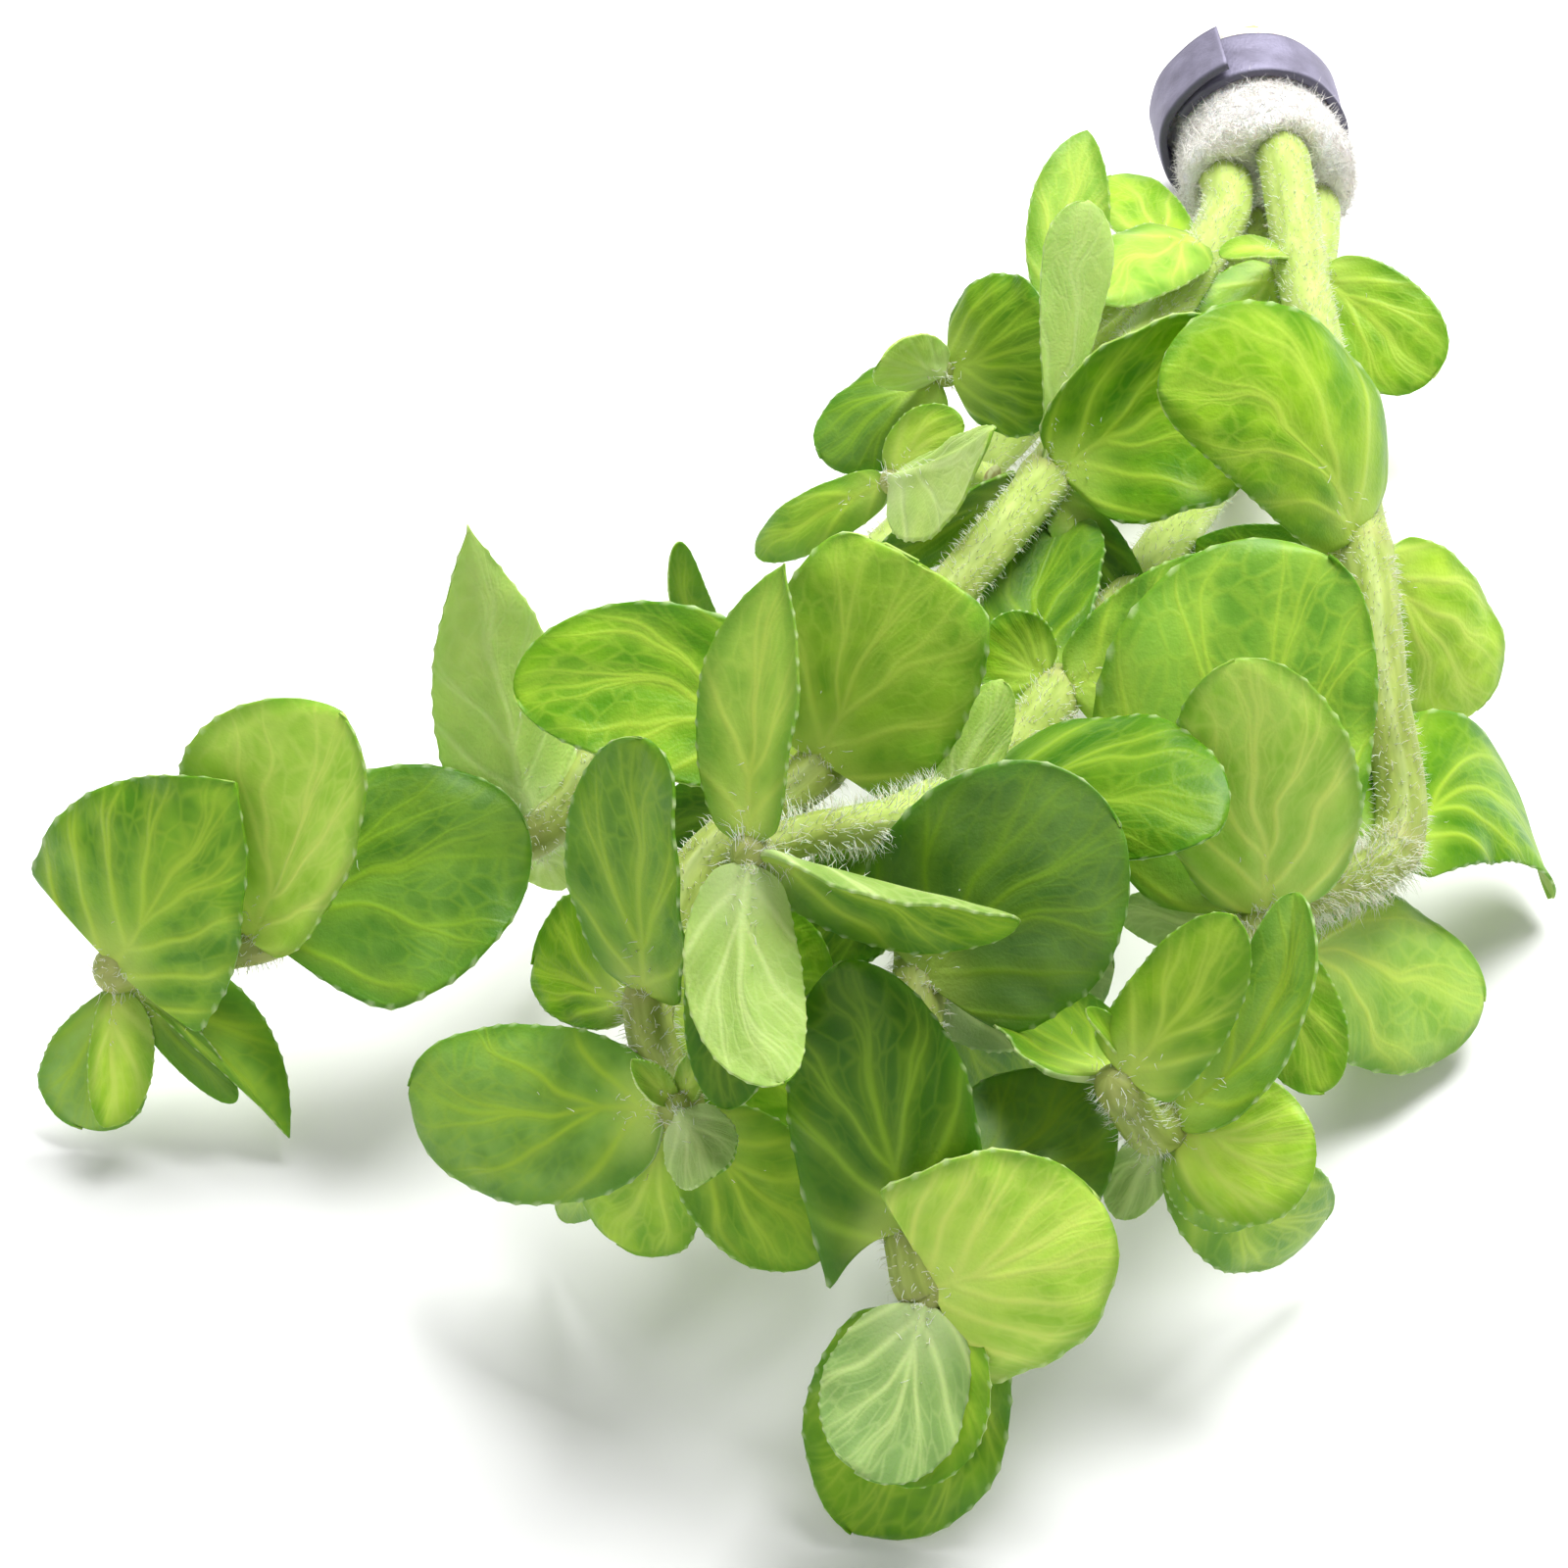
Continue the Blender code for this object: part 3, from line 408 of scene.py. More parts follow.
def leaf_surface(leaf, base, u, v, half_width):
    """Points of a leaf at u from base to tip and v from its left margin, -1, to its right margin, 1."""
    chord = np.array(leaf.tip) - base
    ahead = unit(chord)
    face = leaf.face[0] * FACE_RIGHT + leaf.face[1] * FACE_UP + leaf.face[2] * FACE_OUT
    above = unit(face - ahead * (face @ ahead))
    across = np.cross(ahead, above)
    arch = math.radians(leaf.arch) + 1e-6
    radius = np.linalg.norm(chord) / (2 * math.sin(arch / 2))
    turn = arch / 2 - arch * u
    forward = radius * (math.sin(arch / 2) - np.sin(turn))
    upward = radius * (np.cos(turn) - math.cos(arch / 2))
    swing = leaf.bow * 4 * u * (1 - u)
    slope = leaf.bow * 4 * (1 - 2 * u) / (radius * arch)
    midrib = base + forward[..., None] * ahead + upward[..., None] * above + swing[..., None] * across
    tangent = np.cos(turn)[..., None] * ahead + np.sin(turn)[..., None] * above
    normal = np.cos(turn)[..., None] * above - np.sin(turn)[..., None] * ahead
    sideways = (across - slope[..., None] * tangent) / np.sqrt(1 + slope**2)[..., None]
    curl = np.radians(np.where(v < 0, leaf.cup[0], leaf.cup[1])) / (leaf.width / 2) + 1e-6
    reach = np.abs(v) * half_width * (1 + leaf.skew * np.sign(v))
    start = math.radians(leaf.fold)
    out = np.sign(v) * (np.sin(curl * reach + start) - math.sin(start)) / curl
    up = (math.cos(start) - np.cos(curl * reach + start)) / curl
    near_base = np.exp(-((u / LOBE_SPAN) ** 2))
    back = leaf.lobe * np.linalg.norm(chord) * (reach / (leaf.width / 2)) ** 2 * near_base
    return midrib + sideways * out[..., None] + normal * up[..., None] - tangent * back[..., None]


def outline_rows(leaf, length):
    """Values of u, from base to tip, that lie evenly along the leaf's outline."""
    fine = np.linspace(0, 1, 600)
    half = leaf_half_width(leaf, fine)
    steps = np.hypot(np.diff(fine) * length, np.diff(half))
    along = np.concatenate(([0], np.cumsum(steps)))
    return np.interp(np.linspace(0, along[-1], LEAF_ROWS + 1), along, fine)


def sheet_normals(points):
    """Unit normals of a grid of points, rows by columns."""
    down = np.gradient(points, axis=0)
    over = np.gradient(points, axis=1)
    normals = units(np.cross(over, down))
    normals[0] = normals[1]
    normals[-1] = normals[-2]
    return normals


def make_mesh(name, points, faces, finishes, shares=None):
    """A smooth mesh of points in the tables' millimetres. shares gives each face its number in finishes."""
    mesh = bpy.data.meshes.new(name)
    mesh.from_pydata(placed(points).tolist(), [], faces)
    for finish in finishes:
        mesh.materials.append(finish)
    if shares is not None:
        mesh.polygons.foreach_set("material_index", np.asarray(shares, np.int32))
    mesh.shade_smooth()
    mesh.validate()
    made = bpy.data.objects.new(name, mesh)
    bpy.context.scene.collection.objects.link(made)
    return made


def paint(piece, name, values):
    """Keep a number for each point of a piece, for its material to read."""
    layer = piece.data.attributes.new(name, "FLOAT", "POINT")
    layer.data.foreach_set("value", np.broadcast_to(values, len(piece.data.vertices)).astype(np.float32))


def lay_out(piece, along, across):
    """Give each point of a piece its place along and across a flat sheet."""
    corners = np.zeros(len(piece.data.loops), np.int32)
    piece.data.loops.foreach_get("vertex_index", corners)
    sheet = np.column_stack((along, across))[corners]
    piece.data.uv_layers.new(name="sheet").data.foreach_set("uv", sheet.astype(np.float32).ravel())


def hair_points(roots, ways, bends, lengths, thickness):
    """Points and faces of fine hairs: three-sided, bent half way, drawn to a point."""
    count = len(roots)
    side = units(np.cross(ways, bends + np.array((0.013, 0.021, 0.017))))
    other = np.cross(ways, side)
    lengths = lengths[:, None]
    middle = roots + ways * lengths * 0.55
    tip = middle + units(ways + bends) * lengths * 0.5
    points = []
    for centre, size in ((roots - ways * 0.15, 1.0), (middle, 0.7)):
        for turn in (0, 120, 240):
            spoke = side * math.cos(math.radians(turn)) + other * math.sin(math.radians(turn))
            points.append(centre + spoke * (thickness * size)[:, None])
    points.append(tip)
    points = np.stack(points, axis=1).reshape(-1, 3)
    first = np.arange(count)[:, None] * 7
    faces = []
    for a, b in ((0, 1), (1, 2), (2, 0)):
        faces += (first + np.array((a, b, b + 3, a + 3))).tolist()
        faces += (first + np.array((a + 3, b + 3, 6))).tolist()
    return points, faces


def joined(parts):
    """Points, faces and finish numbers of several shapes put together."""
    points, faces, shares, offset = [], [], [], 0
    for shape_points, shape_faces, finish in parts:
        points.append(shape_points)
        faces += [[index + offset for index in face] for face in shape_faces]
        shares += [finish] * len(shape_faces)
        offset += len(shape_points)
    return np.concatenate(points), faces, shares


def tube_faces(rings, sides):
    """Four-sided faces of a tube whose points come ring by ring."""
    ring, step = np.meshgrid(np.arange(rings - 1), np.arange(sides), indexing="ij")
    here, beside = ring * sides + step, ring * sides + (step + 1) % sides
    return np.stack((here, beside, beside + sides, here + sides), axis=-1).reshape(-1, 4)


def end_faces(centre, start, sides, way):
    """Triangles from a centre point to the ring of points that begins at start. way, 1 or -1, turns them."""
    return [[centre, *(start + i, start + (i + 1) % sides)[::way]] for i in range(sides)]


def tooth_marks(luck, shape):
    """Where a leaf's grid has a tooth: at every third to fifth row of each margin."""
    marks = np.zeros(shape)
    for margin in (0, -1):
        row = 9 + luck.integers(0, 4)
        while row < LEAF_ROWS - 2:
            marks[row, margin] = 1
            row += luck.integers(3, 6)
    return marks


def leaf_skins(leaf, length, flat, u, v, half):
    """The upper and lower skin of a leaf, on either side of a flat grid of points, and their normals."""
    along, across = u * length, v * half
    radius = np.hypot(along, across)

    # Waves towards the margin, and a swelling between each two veins
    margin = smoothed(np.abs(v), 0.35, 1) * smoothed(u, 0.08, 0.35)
    phase = 6.28 * seed_of(leaf.name)
    wave = np.sin(along / length * 9 + phase + 2 * np.sign(v))
    wave = wave + 0.6 * np.sin(along / length * 21 + 2 * phase - v)
    fan = np.arctan2(np.abs(across), along) / (1 - 0.35 * np.clip(radius / length, 0, 1))
    spacing = math.radians(22 + 5 * seed_of(leaf.name))
    between = np.abs((fan / spacing + 0.5) % 1 - 0.5) * 2
    swell = between * smoothed(radius, 2, 9) * (1 - 0.6 * np.abs(v) ** 2)
    sheet = flat + sheet_normals(flat) * (WAVE * leaf.width * margin * wave + SWELLING * swell)[..., None]
    normals = sheet_normals(sheet)

    # Thin at the rim, thick by the stem, with a groove above and a rib below that fade out towards the tip
    bulk = RIM_THICKNESS + (MIDRIB_THICKNESS - RIM_THICKNESS) * smoothed((1 - np.abs(v)) * half, 0, RIM_WIDTH)
    bulk = bulk * np.interp(length * u, (0, 3), (2.2, 1)) * (0.5 + 0.5 * smoothed(half, 0, 1.5))
    rib = np.exp(-((across / RIB_WIDTH) ** 2)) * (1 - 0.85 * u)
    top = sheet + normals * (bulk / 2 - GROOVE_DEPTH * rib)[..., None]
    bottom = sheet - normals * (bulk / 2 + RIB_HEIGHT * rib)[..., None]
    return top, bottom, normals


def leaf_hairs(leaf, luck, top, bottom, normals):
    """Hairs on the base and rib of a leaf, most of them below."""
    many = int(26 + 2.2 * leaf.width)
    row = luck.integers(0, LEAF_ROWS // 2, many)
    row = (row * luck.random(many)).astype(int) + 1
    column = LEAF_COLUMNS // 2 + luck.integers(-3, 4, many)
    below = luck.random(many)[:, None] < 0.6
    roots = np.where(below, bottom[row, column], top[row, column])
    ways = units(np.where(below, -1, 1) * normals[row, column] + luck.normal(0, 0.5, (many, 3)))
    lengths = luck.uniform(0.5, 1.2, many)
    return hair_points(roots, ways, luck.normal(0, 0.5, (many, 3)), lengths, np.full(many, HAIR_RADIUS))


def make_leaf(leaf, upper, lower, hair):
    """A leaf: an upper and a lower skin joined at a thin toothed rim, with hairs by its base."""
    luck = np.random.default_rng(int(seed_of(leaf.name) * 1e6))
    base = leaf_base(leaf, -ROOT_DEPTH)
    length = np.linalg.norm(np.array(leaf.tip) - base)
    spread = np.linspace(-1, 1, LEAF_COLUMNS + 1)
    columns = 0.6 * spread + 0.4 * np.sin(spread * math.pi / 2)
    u, v = np.meshgrid(outline_rows(leaf, length), columns, indexing="ij")
    half = leaf_half_width(leaf, u)
    tooth = tooth_marks(luck, u.shape)
    flat = leaf_surface(leaf, base, u, v, half + TOOTH * tooth * min(1, leaf.width / TOOTH_FULL_WIDTH))
    top, bottom, normals = leaf_skins(leaf, length, flat, u, v, half)
    hairs, hair_faces = leaf_hairs(leaf, luck, top, bottom, normals)

    # Each row of points runs across the upper skin and back across the lower one
    skins = np.concatenate((top, bottom[:, ::-1]), axis=1)
    count = skins.shape[1]
    edge = np.arange(LEAF_COLUMNS)
    end = np.stack((edge, count - 1 - edge, count - 2 - edge, edge + 1), axis=-1)
    faces = (*tube_faces(LEAF_ROWS + 1, count)[:, ::-1].tolist(), *end[:, ::-1].tolist(),
             *(end + LEAF_ROWS * count).tolist())
    below = np.tile(np.arange(count) > LEAF_COLUMNS, LEAF_ROWS).astype(int)
    shares = (*below, *[1] * (2 * LEAF_COLUMNS), *[2] * len(hair_faces))
    points, faces, _ = joined(((skins.reshape(-1, 3), faces, 0), (hairs, hair_faces, 2)))
    piece = make_mesh(leaf.name + "_blade", points, faces, (upper, lower, hair), shares)

    def on_skins(values):
        """Values of the grid for both skins, and 0 for each point of a hair."""
        both = np.concatenate((values, values[:, ::-1]), axis=1).ravel()
        return np.concatenate((both, np.zeros(len(hairs))))

    lay_out(piece, on_skins(u * length) / SHEET_UNIT, on_skins(v * half) / SHEET_UNIT + 0.5)
    # light carries painted shade and painted light along with the leaf's tone; the bluish wash is its wax and
    # partly painted sheen
    for name, values in (("margin", on_skins((1 - np.abs(v)) * half)), ("tooth", on_skins(tooth)),
                         ("light", leaf.light), ("bloom", leaf.blue), ("seed", seed_of(leaf.name)),
                         ("length", length)):
        paint(piece, name, values)
    return piece


def tube_frames(path):
    """Tangents and two cross directions along a path, without twist."""
    tangents = units(np.gradient(path, axis=0))
    side = unit(np.cross(tangents[0], FACE_OUT))
    sides = []
    for tangent in tangents:
        side = unit(side - tangent * (side @ tangent))
        sides.append(side)
    return tangents, np.array(sides), np.cross(tangents, np.array(sides))


def stem_path(stem):
    """The middle line of a stem: straight through the collar, and smooth after it."""
    knots = stem_knots(stem)
    if not stem.seat:
        return np.array(smooth_path(knots, knots[0], STEM_STEPS))
    before = knots[1] - COLLAR_AXIS * np.linalg.norm(knots[2] - knots[1])
    straight = [knots[0] + (knots[1] - knots[0]) * t for t in np.arange(STEM_STEPS) / STEM_STEPS]
    return np.array(straight + smooth_path(knots[1:], before, STEM_STEPS))


def stem_hairs(stem, luck, path, radii, frames):
    """Hairs all over a stem, longer towards its growing tip, and longest and densest where it is woolly."""
    tangents, sides, ups = frames
    areas = np.linalg.norm(np.diff(path, axis=0), axis=1) * (radii[1:] + radii[:-1]) * math.pi
    wool = np.zeros(len(areas))
    if stem.woolly:
        knots = stem_knots(stem)
        wool[slice(*(np.linalg.norm(path - knots[knot], axis=1).argmin() for knot in stem.woolly))] = 1
    weights = areas * (1 + 1.5 * wool)
    many = int(stem.hairs * weights.sum())
    ring = luck.choice(len(areas), many, p=weights / weights.sum())
    turn = luck.random(many) * 2 * math.pi
    part = luck.random(many)[:, None]
    spoke = sides[ring] * np.cos(turn)[:, None] + ups[ring] * np.sin(turn)[:, None]
    roots = path[ring] * (1 - part) + path[ring + 1] * part + spoke * (radii[ring] * 0.97)[:, None]
    ways = units(spoke + luck.normal(0, 0.3, (many, 3)))
    bends = tangents[ring] * 0.4 + luck.normal(0, 0.45, (many, 3))
    grown = ring / len(areas)
    lengths = stem.hair_length * (0.65 + 0.55 * grown + 0.9 * wool[ring]) * luck.uniform(0.5, 1.35, many)
    return hair_points(roots, ways, bends, lengths, HAIR_RADIUS * luck.uniform(0.7, 1.2, many))


def make_stem(stem, skin, hair, cut):
    """A stem: a ribbed tube, thicker at its nodes, rounded at its tip, with fine white hairs all over."""
    luck = np.random.default_rng(int(seed_of(stem.name) * 1e6))
    knots = stem_knots(stem)
    path = stem_path(stem)
    knob = np.zeros(len(path))
    for knot in {leaf.knot for leaf in LEAF_PIECES if leaf.branch == stem.name}:
        distance = np.linalg.norm(path - knots[knot], axis=1)
        knob = np.maximum(knob, np.exp(-((distance / NODE_REACH) ** 2)))
    radii = stem.thick + (stem.thin - stem.thick) * np.linspace(0, 1, len(path))
    radii = radii * (1 + NODE_SWELL * knob)
    ahead = unit(path[-1] - path[-2])
    caps = np.radians(STEM_END_DEGREES)
    path = np.concatenate((path, path[-1] + ahead * (stem.thin * np.sin(caps))[:, None]))
    radii = np.concatenate((radii, radii[-1] * np.cos(caps)))
    knob = np.concatenate((knob, np.full(len(caps), knob[-1])))

    # Four ribs, finer strands between them, and uneven growth
    tangents, sides, ups = tube_frames(path)
    turns = np.arange(STEM_SIDES) / STEM_SIDES * 2 * math.pi
    ribs = 1 + 0.035 * np.cos(4 * turns) + 0.015 * np.cos(11 * turns + 1)
    spokes = sides[:, None] * np.cos(turns)[None, :, None] + ups[:, None] * np.sin(turns)[None, :, None]
    lumps = np.array([[noise.noise(Vector(point * 0.25)) for point in ring]
                      for ring in path[:, None] + spokes * radii[:, None, None]])
    reach = radii[:, None] * ribs[None] * (1 + 0.05 * lumps)
    tube = (path[:, None] + spokes * reach[..., None]).reshape(-1, 3)
    rings = len(path)
    points = np.concatenate((tube, path[:1] + tangents[:1] * 0.2, path[-1:] + ahead * 0.05))
    front = end_faces(len(tube) + 1, (rings - 1) * STEM_SIDES, STEM_SIDES, 1)
    back = end_faces(len(tube), 0, STEM_SIDES, -1)
    hairs, hair_faces = stem_hairs(stem, luck, path, radii, (tangents, sides, ups))
    skin_faces = tube_faces(rings, STEM_SIDES).tolist() + front
    all_points, faces, shares = joined(((points, skin_faces, 0), (hairs, hair_faces, 1)))
    piece = make_mesh(stem.name + "_skin", all_points, faces + back, (skin, hair, cut),
                      shares + [2] * len(back))

    rest = np.zeros(len(all_points) - len(tube))
    travelled = np.concatenate(([0], np.cumsum(np.linalg.norm(np.diff(path, axis=0), axis=1))))
    around = np.concatenate((np.tile(turns / 6.283, rings), rest))
    lay_out(piece, np.concatenate((np.repeat(travelled, STEM_SIDES), rest)) / SHEET_UNIT, around)
    for name, values in (("node", knob), ("grown", np.linspace(0, 1, rings))):
        paint(piece, name, np.concatenate((np.repeat(values, STEM_SIDES), rest)))
    return piece


def foam_profile():
    """The foam's outline as radius and place along its axis, from the middle of its front to its back."""
    bend = np.radians(np.linspace(0, 90, 7))
    flat_edge = FOAM_RADIUS - FOAM_ROUNDING
    front = [(FOAM_RADIUS - FOAM_ROUNDING * (1 - math.sin(a)), FOAM_FRONT - FOAM_ROUNDING * (1 - math.cos(a)))
             for a in bend]
    back = [(radius, FOAM_BACK + FOAM_FRONT - along) for radius, along in reversed(front)]
    inner = [(radius, FOAM_FRONT) for radius in np.linspace(0.2, flat_edge, 16)[:-1]]
    outer = [(radius, FOAM_BACK) for radius in np.linspace(flat_edge, 0.2, 10)[1:]]
    wall = [(FOAM_RADIUS, along) for along in np.linspace(front[-1][1], back[0][1], 36)[1:-1]]
    profile = np.array(inner + front + wall + back + outer)

    # Free of the strip, the foam swells
    free = smoothed(np.abs(profile[:, 1]) - STRIP_WIDTH / 2, 0, 2.5)
    profile[:, 0] *= 1 + FOAM_SWELL / FOAM_RADIUS * free * smoothed(profile[:, 0], 4, FOAM_RADIUS)
    return profile


def make_foam(foam, thread):
    """The foam plug: a rough, soft-rimmed cylinder that closes round the stems, with loose threads."""
    luck = np.random.default_rng(5)
    profile = foam_profile()
    rings = len(profile)
    turns = np.arange(FOAM_SIDES) / FOAM_SIDES * 2 * math.pi
    across, up = profile[:, 0, None] * np.cos(turns), profile[:, 0, None] * np.sin(turns)
    along = np.broadcast_to(profile[:, 1, None], across.shape).copy()
    for stem in STEMS:
        if stem.seat:
            near = np.hypot(across - stem.seat[0], up - stem.seat[1])
            along -= FOAM_DIMPLE * np.exp(-((near / (stem.thick + 0.5)) ** 4)) * (along > 0)
    points = COLLAR_CENTRE + across[..., None] * COLLAR_RIGHT + up[..., None] * COLLAR_UP \
        + along[..., None] * COLLAR_AXIS
    outward = sheet_normals(points)
    outward *= np.sign((outward * (points - COLLAR_CENTRE)).sum(axis=-1, keepdims=True))
    rough = np.array([[noise.noise(Vector(p * 0.35)) * 0.45 + noise.noise(Vector(p * 1.3)) * 0.22
                       + noise.noise(Vector(p * 4)) * 0.1 for p in ring] for ring in points])
    shown = smoothed(along, 0, 1.5)
    points = points + outward * (rough * (0.25 + 0.75 * shown) - 0.2)[..., None]
    flat = points.reshape(-1, 3)
    middles = np.array((points[0].mean(axis=0), points[-1].mean(axis=0)))
    faces = tube_faces(rings, FOAM_SIDES)[:, [0, 3, 2, 1]].tolist() + end_faces(len(flat), 0, FOAM_SIDES, 1) \
        + end_faces(len(flat) + 1, (rings - 1) * FOAM_SIDES, FOAM_SIDES, -1)

    # Threads lie nearly flat on the part of the foam in front of the strip
    shown_rings = np.nonzero(profile[:, 1] > 0.3)[0][6:]
    ring, place = luck.choice(shown_rings, FOAM_THREADS), luck.integers(0, FOAM_SIDES, FOAM_THREADS)
    away = outward[ring, place]
    ways = units(away * 0.35 + np.cross(away, luck.normal(0, 1, (FOAM_THREADS, 3))))
    bends = luck.normal(0, 0.6, (FOAM_THREADS, 3)) + away * 0.3
    lengths = luck.uniform(*THREAD_LENGTHS, FOAM_THREADS)
    threads, thread_faces = hair_points(points[ring, place], ways, bends, lengths,
                                        np.full(FOAM_THREADS, THREAD_RADIUS))
    plug = np.concatenate((flat, middles))
    all_points, faces, shares = joined(((plug, faces, 0), (threads, thread_faces, 1)))
    return make_mesh("foam_plug", all_points, faces, (foam, thread), shares)


def strip_radius(turned):
    """The strip's distance from the axis after it has turned this far from its free outer end."""
    overlap = STRIP_TURN_DEGREES - 360
    outer = np.clip(1.6 - turned / (1.6 * overlap), 0, 1)
    lifted = np.clip(1 - turned / overlap, 0, 1)
    return STRIP_RADIUS + STRIP_LAYER * outer**2 * (3 - 2 * outer) + STRIP_END_LIFT * lifted**2


def strip_section():
    """The strip's cross-section with its corners rounded and its long sides cut in short steps."""
    half, flat, soft = STRIP_THICKNESS / 2, STRIP_WIDTH / 2, STRIP_ROUNDING
    outline = []
    for side, end in ((1, 1), (-1, 1), (-1, -1), (1, -1)):
        arc = [(side * (half - soft + soft * math.sin(a)), end * (flat - soft + soft * math.cos(a)))
               for a in np.radians((0, 30, 60, 90))]
        outline += arc if side * end < 0 else arc[::-1]
    section = []
    for (a, b), (c, d) in zip(outline, outline[1:] + outline[:1]):
        pieces = 14 if abs(d - b) > 3 else 1
        section += [(a + (c - a) * t / pieces, b + (d - b) * t / pieces) for t in range(pieces)]
    return np.array(section)


def make_strip(lead):
    """The lead strip: a flat band wound a little over once, dented by the fingers that wound it."""
    turned = np.linspace(0, STRIP_TURN_DEGREES, STRIP_STEPS + 1)
    angle = np.radians(STRIP_START_DEGREES + turned)
    section = strip_section()
    count = len(section)
    radius = strip_radius(turned)[:, None] + section[:, 0][None]
    x = radius * np.cos(angle)[:, None]
    y = radius * np.sin(angle)[:, None]
    along = np.broadcast_to(section[:, 1][None] - STRIP_WIDTH / 2, x.shape)
    dents = np.array([[noise.noise(Vector((a * 0.22, b * 0.22, c * 0.3))) for a, b, c in zip(*ring)]
                      for ring in zip(x, y, along)])
    scale = 1 + STRIP_DENT * dents / radius
    points = COLLAR_CENTRE + (x * scale)[..., None] * COLLAR_RIGHT + (y * scale)[..., None] * COLLAR_UP \
        + (along + STRIP_WAVER * dents)[..., None] * COLLAR_AXIS
    ends = [list(range(count))[::-1], list(range(STRIP_STEPS * count, (STRIP_STEPS + 1) * count))]
    faces = tube_faces(STRIP_STEPS + 1, count).tolist() + ends
    piece = make_mesh("lead_band", points.reshape(-1, 3), faces, (lead,))
    paint(piece, "edge", np.tile(STRIP_WIDTH / 2 - np.abs(section[:, 1]), STRIP_STEPS + 1))
    return piece


def linear(channel):
    return channel / 12.92 if channel <= 0.04045 else ((channel + 0.055) / 1.055) ** 2.4


def colour(code):
    """A hex sRGB value as linear light."""
    return (*(linear(int(code[i : i + 2], 16) / 255) for i in (1, 3, 5)), 1)


def node(tree, kind, *values, out=0, sockets=None, **settings):
    """Add a node: values fill its sockets in order, sockets fills them by name. Gives one output."""
    made = tree.nodes.new("ShaderNode" + kind)
    for name, setting in settings.items():
        setattr(made, name, setting)
    for socket, value in (*enumerate(values), *(sockets or {}).items()):
        if isinstance(value, bpy.types.NodeSocket):
            tree.links.new(value, made.inputs[socket])
        elif value is not None:
            made.inputs[socket].default_value = value
    return made.outputs[out] if made.outputs else made


def maths(tree, operation, *values, **settings):
    """The outcome of a sum, as Blender names it."""
    return node(tree, "Math", *values, operation=operation, **settings)


def ramped(tree, value, *limits):
    """A value eased from its own range to another: limits are low, high, then what they become."""
    return node(tree, "MapRange", value, *limits, interpolation_type="SMOOTHSTEP")


def painted(tree, name):
    """A number that was kept on the mesh."""
    return node(tree, "Attribute", attribute_name=name, out="Fac")


def mixed(tree, share, first, second):
    """One colour over another by a share."""
    return node(tree, "Mix", share, out=2, sockets={6: first, 7: second}, data_type="RGBA")


def layered(tree, under, *layers):
    """Colours laid over one another, each by a mask and the most of it that shows."""
    for mask, most, over in layers:
        under = mixed(tree, maths(tree, "MULTIPLY", mask, most), under, over)
    return under


def surface(name, build):
    """A material whose look is built by build, which gives the values of its shader's sockets."""
    made = bpy.data.materials.new(name)
    made.use_nodes = True
    tree = made.node_tree
    tree.nodes.clear()
    shader = node(tree, "BsdfPrincipled", sockets=build(tree))
    node(tree, "OutputMaterial", shader)
    return made


def wandered(tree, along, place):
    """A place on the leaf moved by about a millimetre, less near its base, so that veins wander."""
    wander = node(tree, "TexNoise", place, sockets={"Scale": 0.11, "Detail": 1.0}, out="Color")
    moved = node(tree, "VectorMath", wander, (0.5, 0.5, 0.5), operation="SUBTRACT")
    reach = node(tree, "MapRange", along, 0.0, 12.0, 0.4, 5.0)
    moved = node(tree, "VectorMath", moved, sockets={"Scale": reach}, operation="SCALE")
    return node(tree, "SeparateXYZ", node(tree, "VectorMath", place, moved, operation="ADD"))


def vein_fan(tree, length, grown, ahead, out):
    """How far out in the fan of side veins a place lies, and how many mm one unit of the fan is there.

    Side veins leave the midrib in its lower third, the outer ones first, and bow towards the tip.
    """
    leave = maths(tree, "MULTIPLY", length, 0.36)
    past = maths(tree, "SUBTRACT", ahead, leave)
    inner = maths(tree, "MULTIPLY_ADD", maths(tree, "MULTIPLY", leave, 4 / VEIN_OPENING), out,
                  maths(tree, "MULTIPLY", past, past))
    spread = maths(tree, "SQRT", inner)
    fan = maths(tree, "MULTIPLY", maths(tree, "SUBTRACT", spread, past), VEIN_OPENING / 2)
    fan = maths(tree, "DIVIDE", fan, leave)
    bowing = maths(tree, "MULTIPLY_ADD", grown, -0.35, 1.0)
    fan = maths(tree, "DIVIDE", fan, maths(tree, "MAXIMUM", bowing, 0.4))
    slant = maths(tree, "SQRT", maths(tree, "MULTIPLY_ADD", fan, fan, 1.0))
    return fan, maths(tree, "DIVIDE", spread, slant)


def distance_to_vein(tree, fan, fan_width, grown, side, seed, out):
    """Millimetres from the nearest vein. Side veins split in two, a third to two thirds along the leaf."""
    gap = maths(tree, "MULTIPLY_ADD", seed, 0.14, 0.54)
    number = maths(tree, "ROUND", maths(tree, "DIVIDE", fan, gap))
    chance = node(tree, "TexWhiteNoise", node(tree, "CombineXYZ", number, side, seed), noise_dimensions="3D")
    past_split = maths(tree, "SUBTRACT", grown, maths(tree, "MULTIPLY_ADD", chance, 0.35, 0.32))
    split = maths(tree, "MULTIPLY", node(tree, "MapRange", past_split, 0.0, 0.6, 0.0, 0.3), gap)
    off_main = maths(tree, "PINGPONG", fan, maths(tree, "MULTIPLY", gap, 0.5))
    off_split = maths(tree, "ABSOLUTE", maths(tree, "SUBTRACT", off_main, split))
    return maths(tree, "SMOOTH_MIN", maths(tree, "MULTIPLY", off_split, fan_width), out, 0.4)


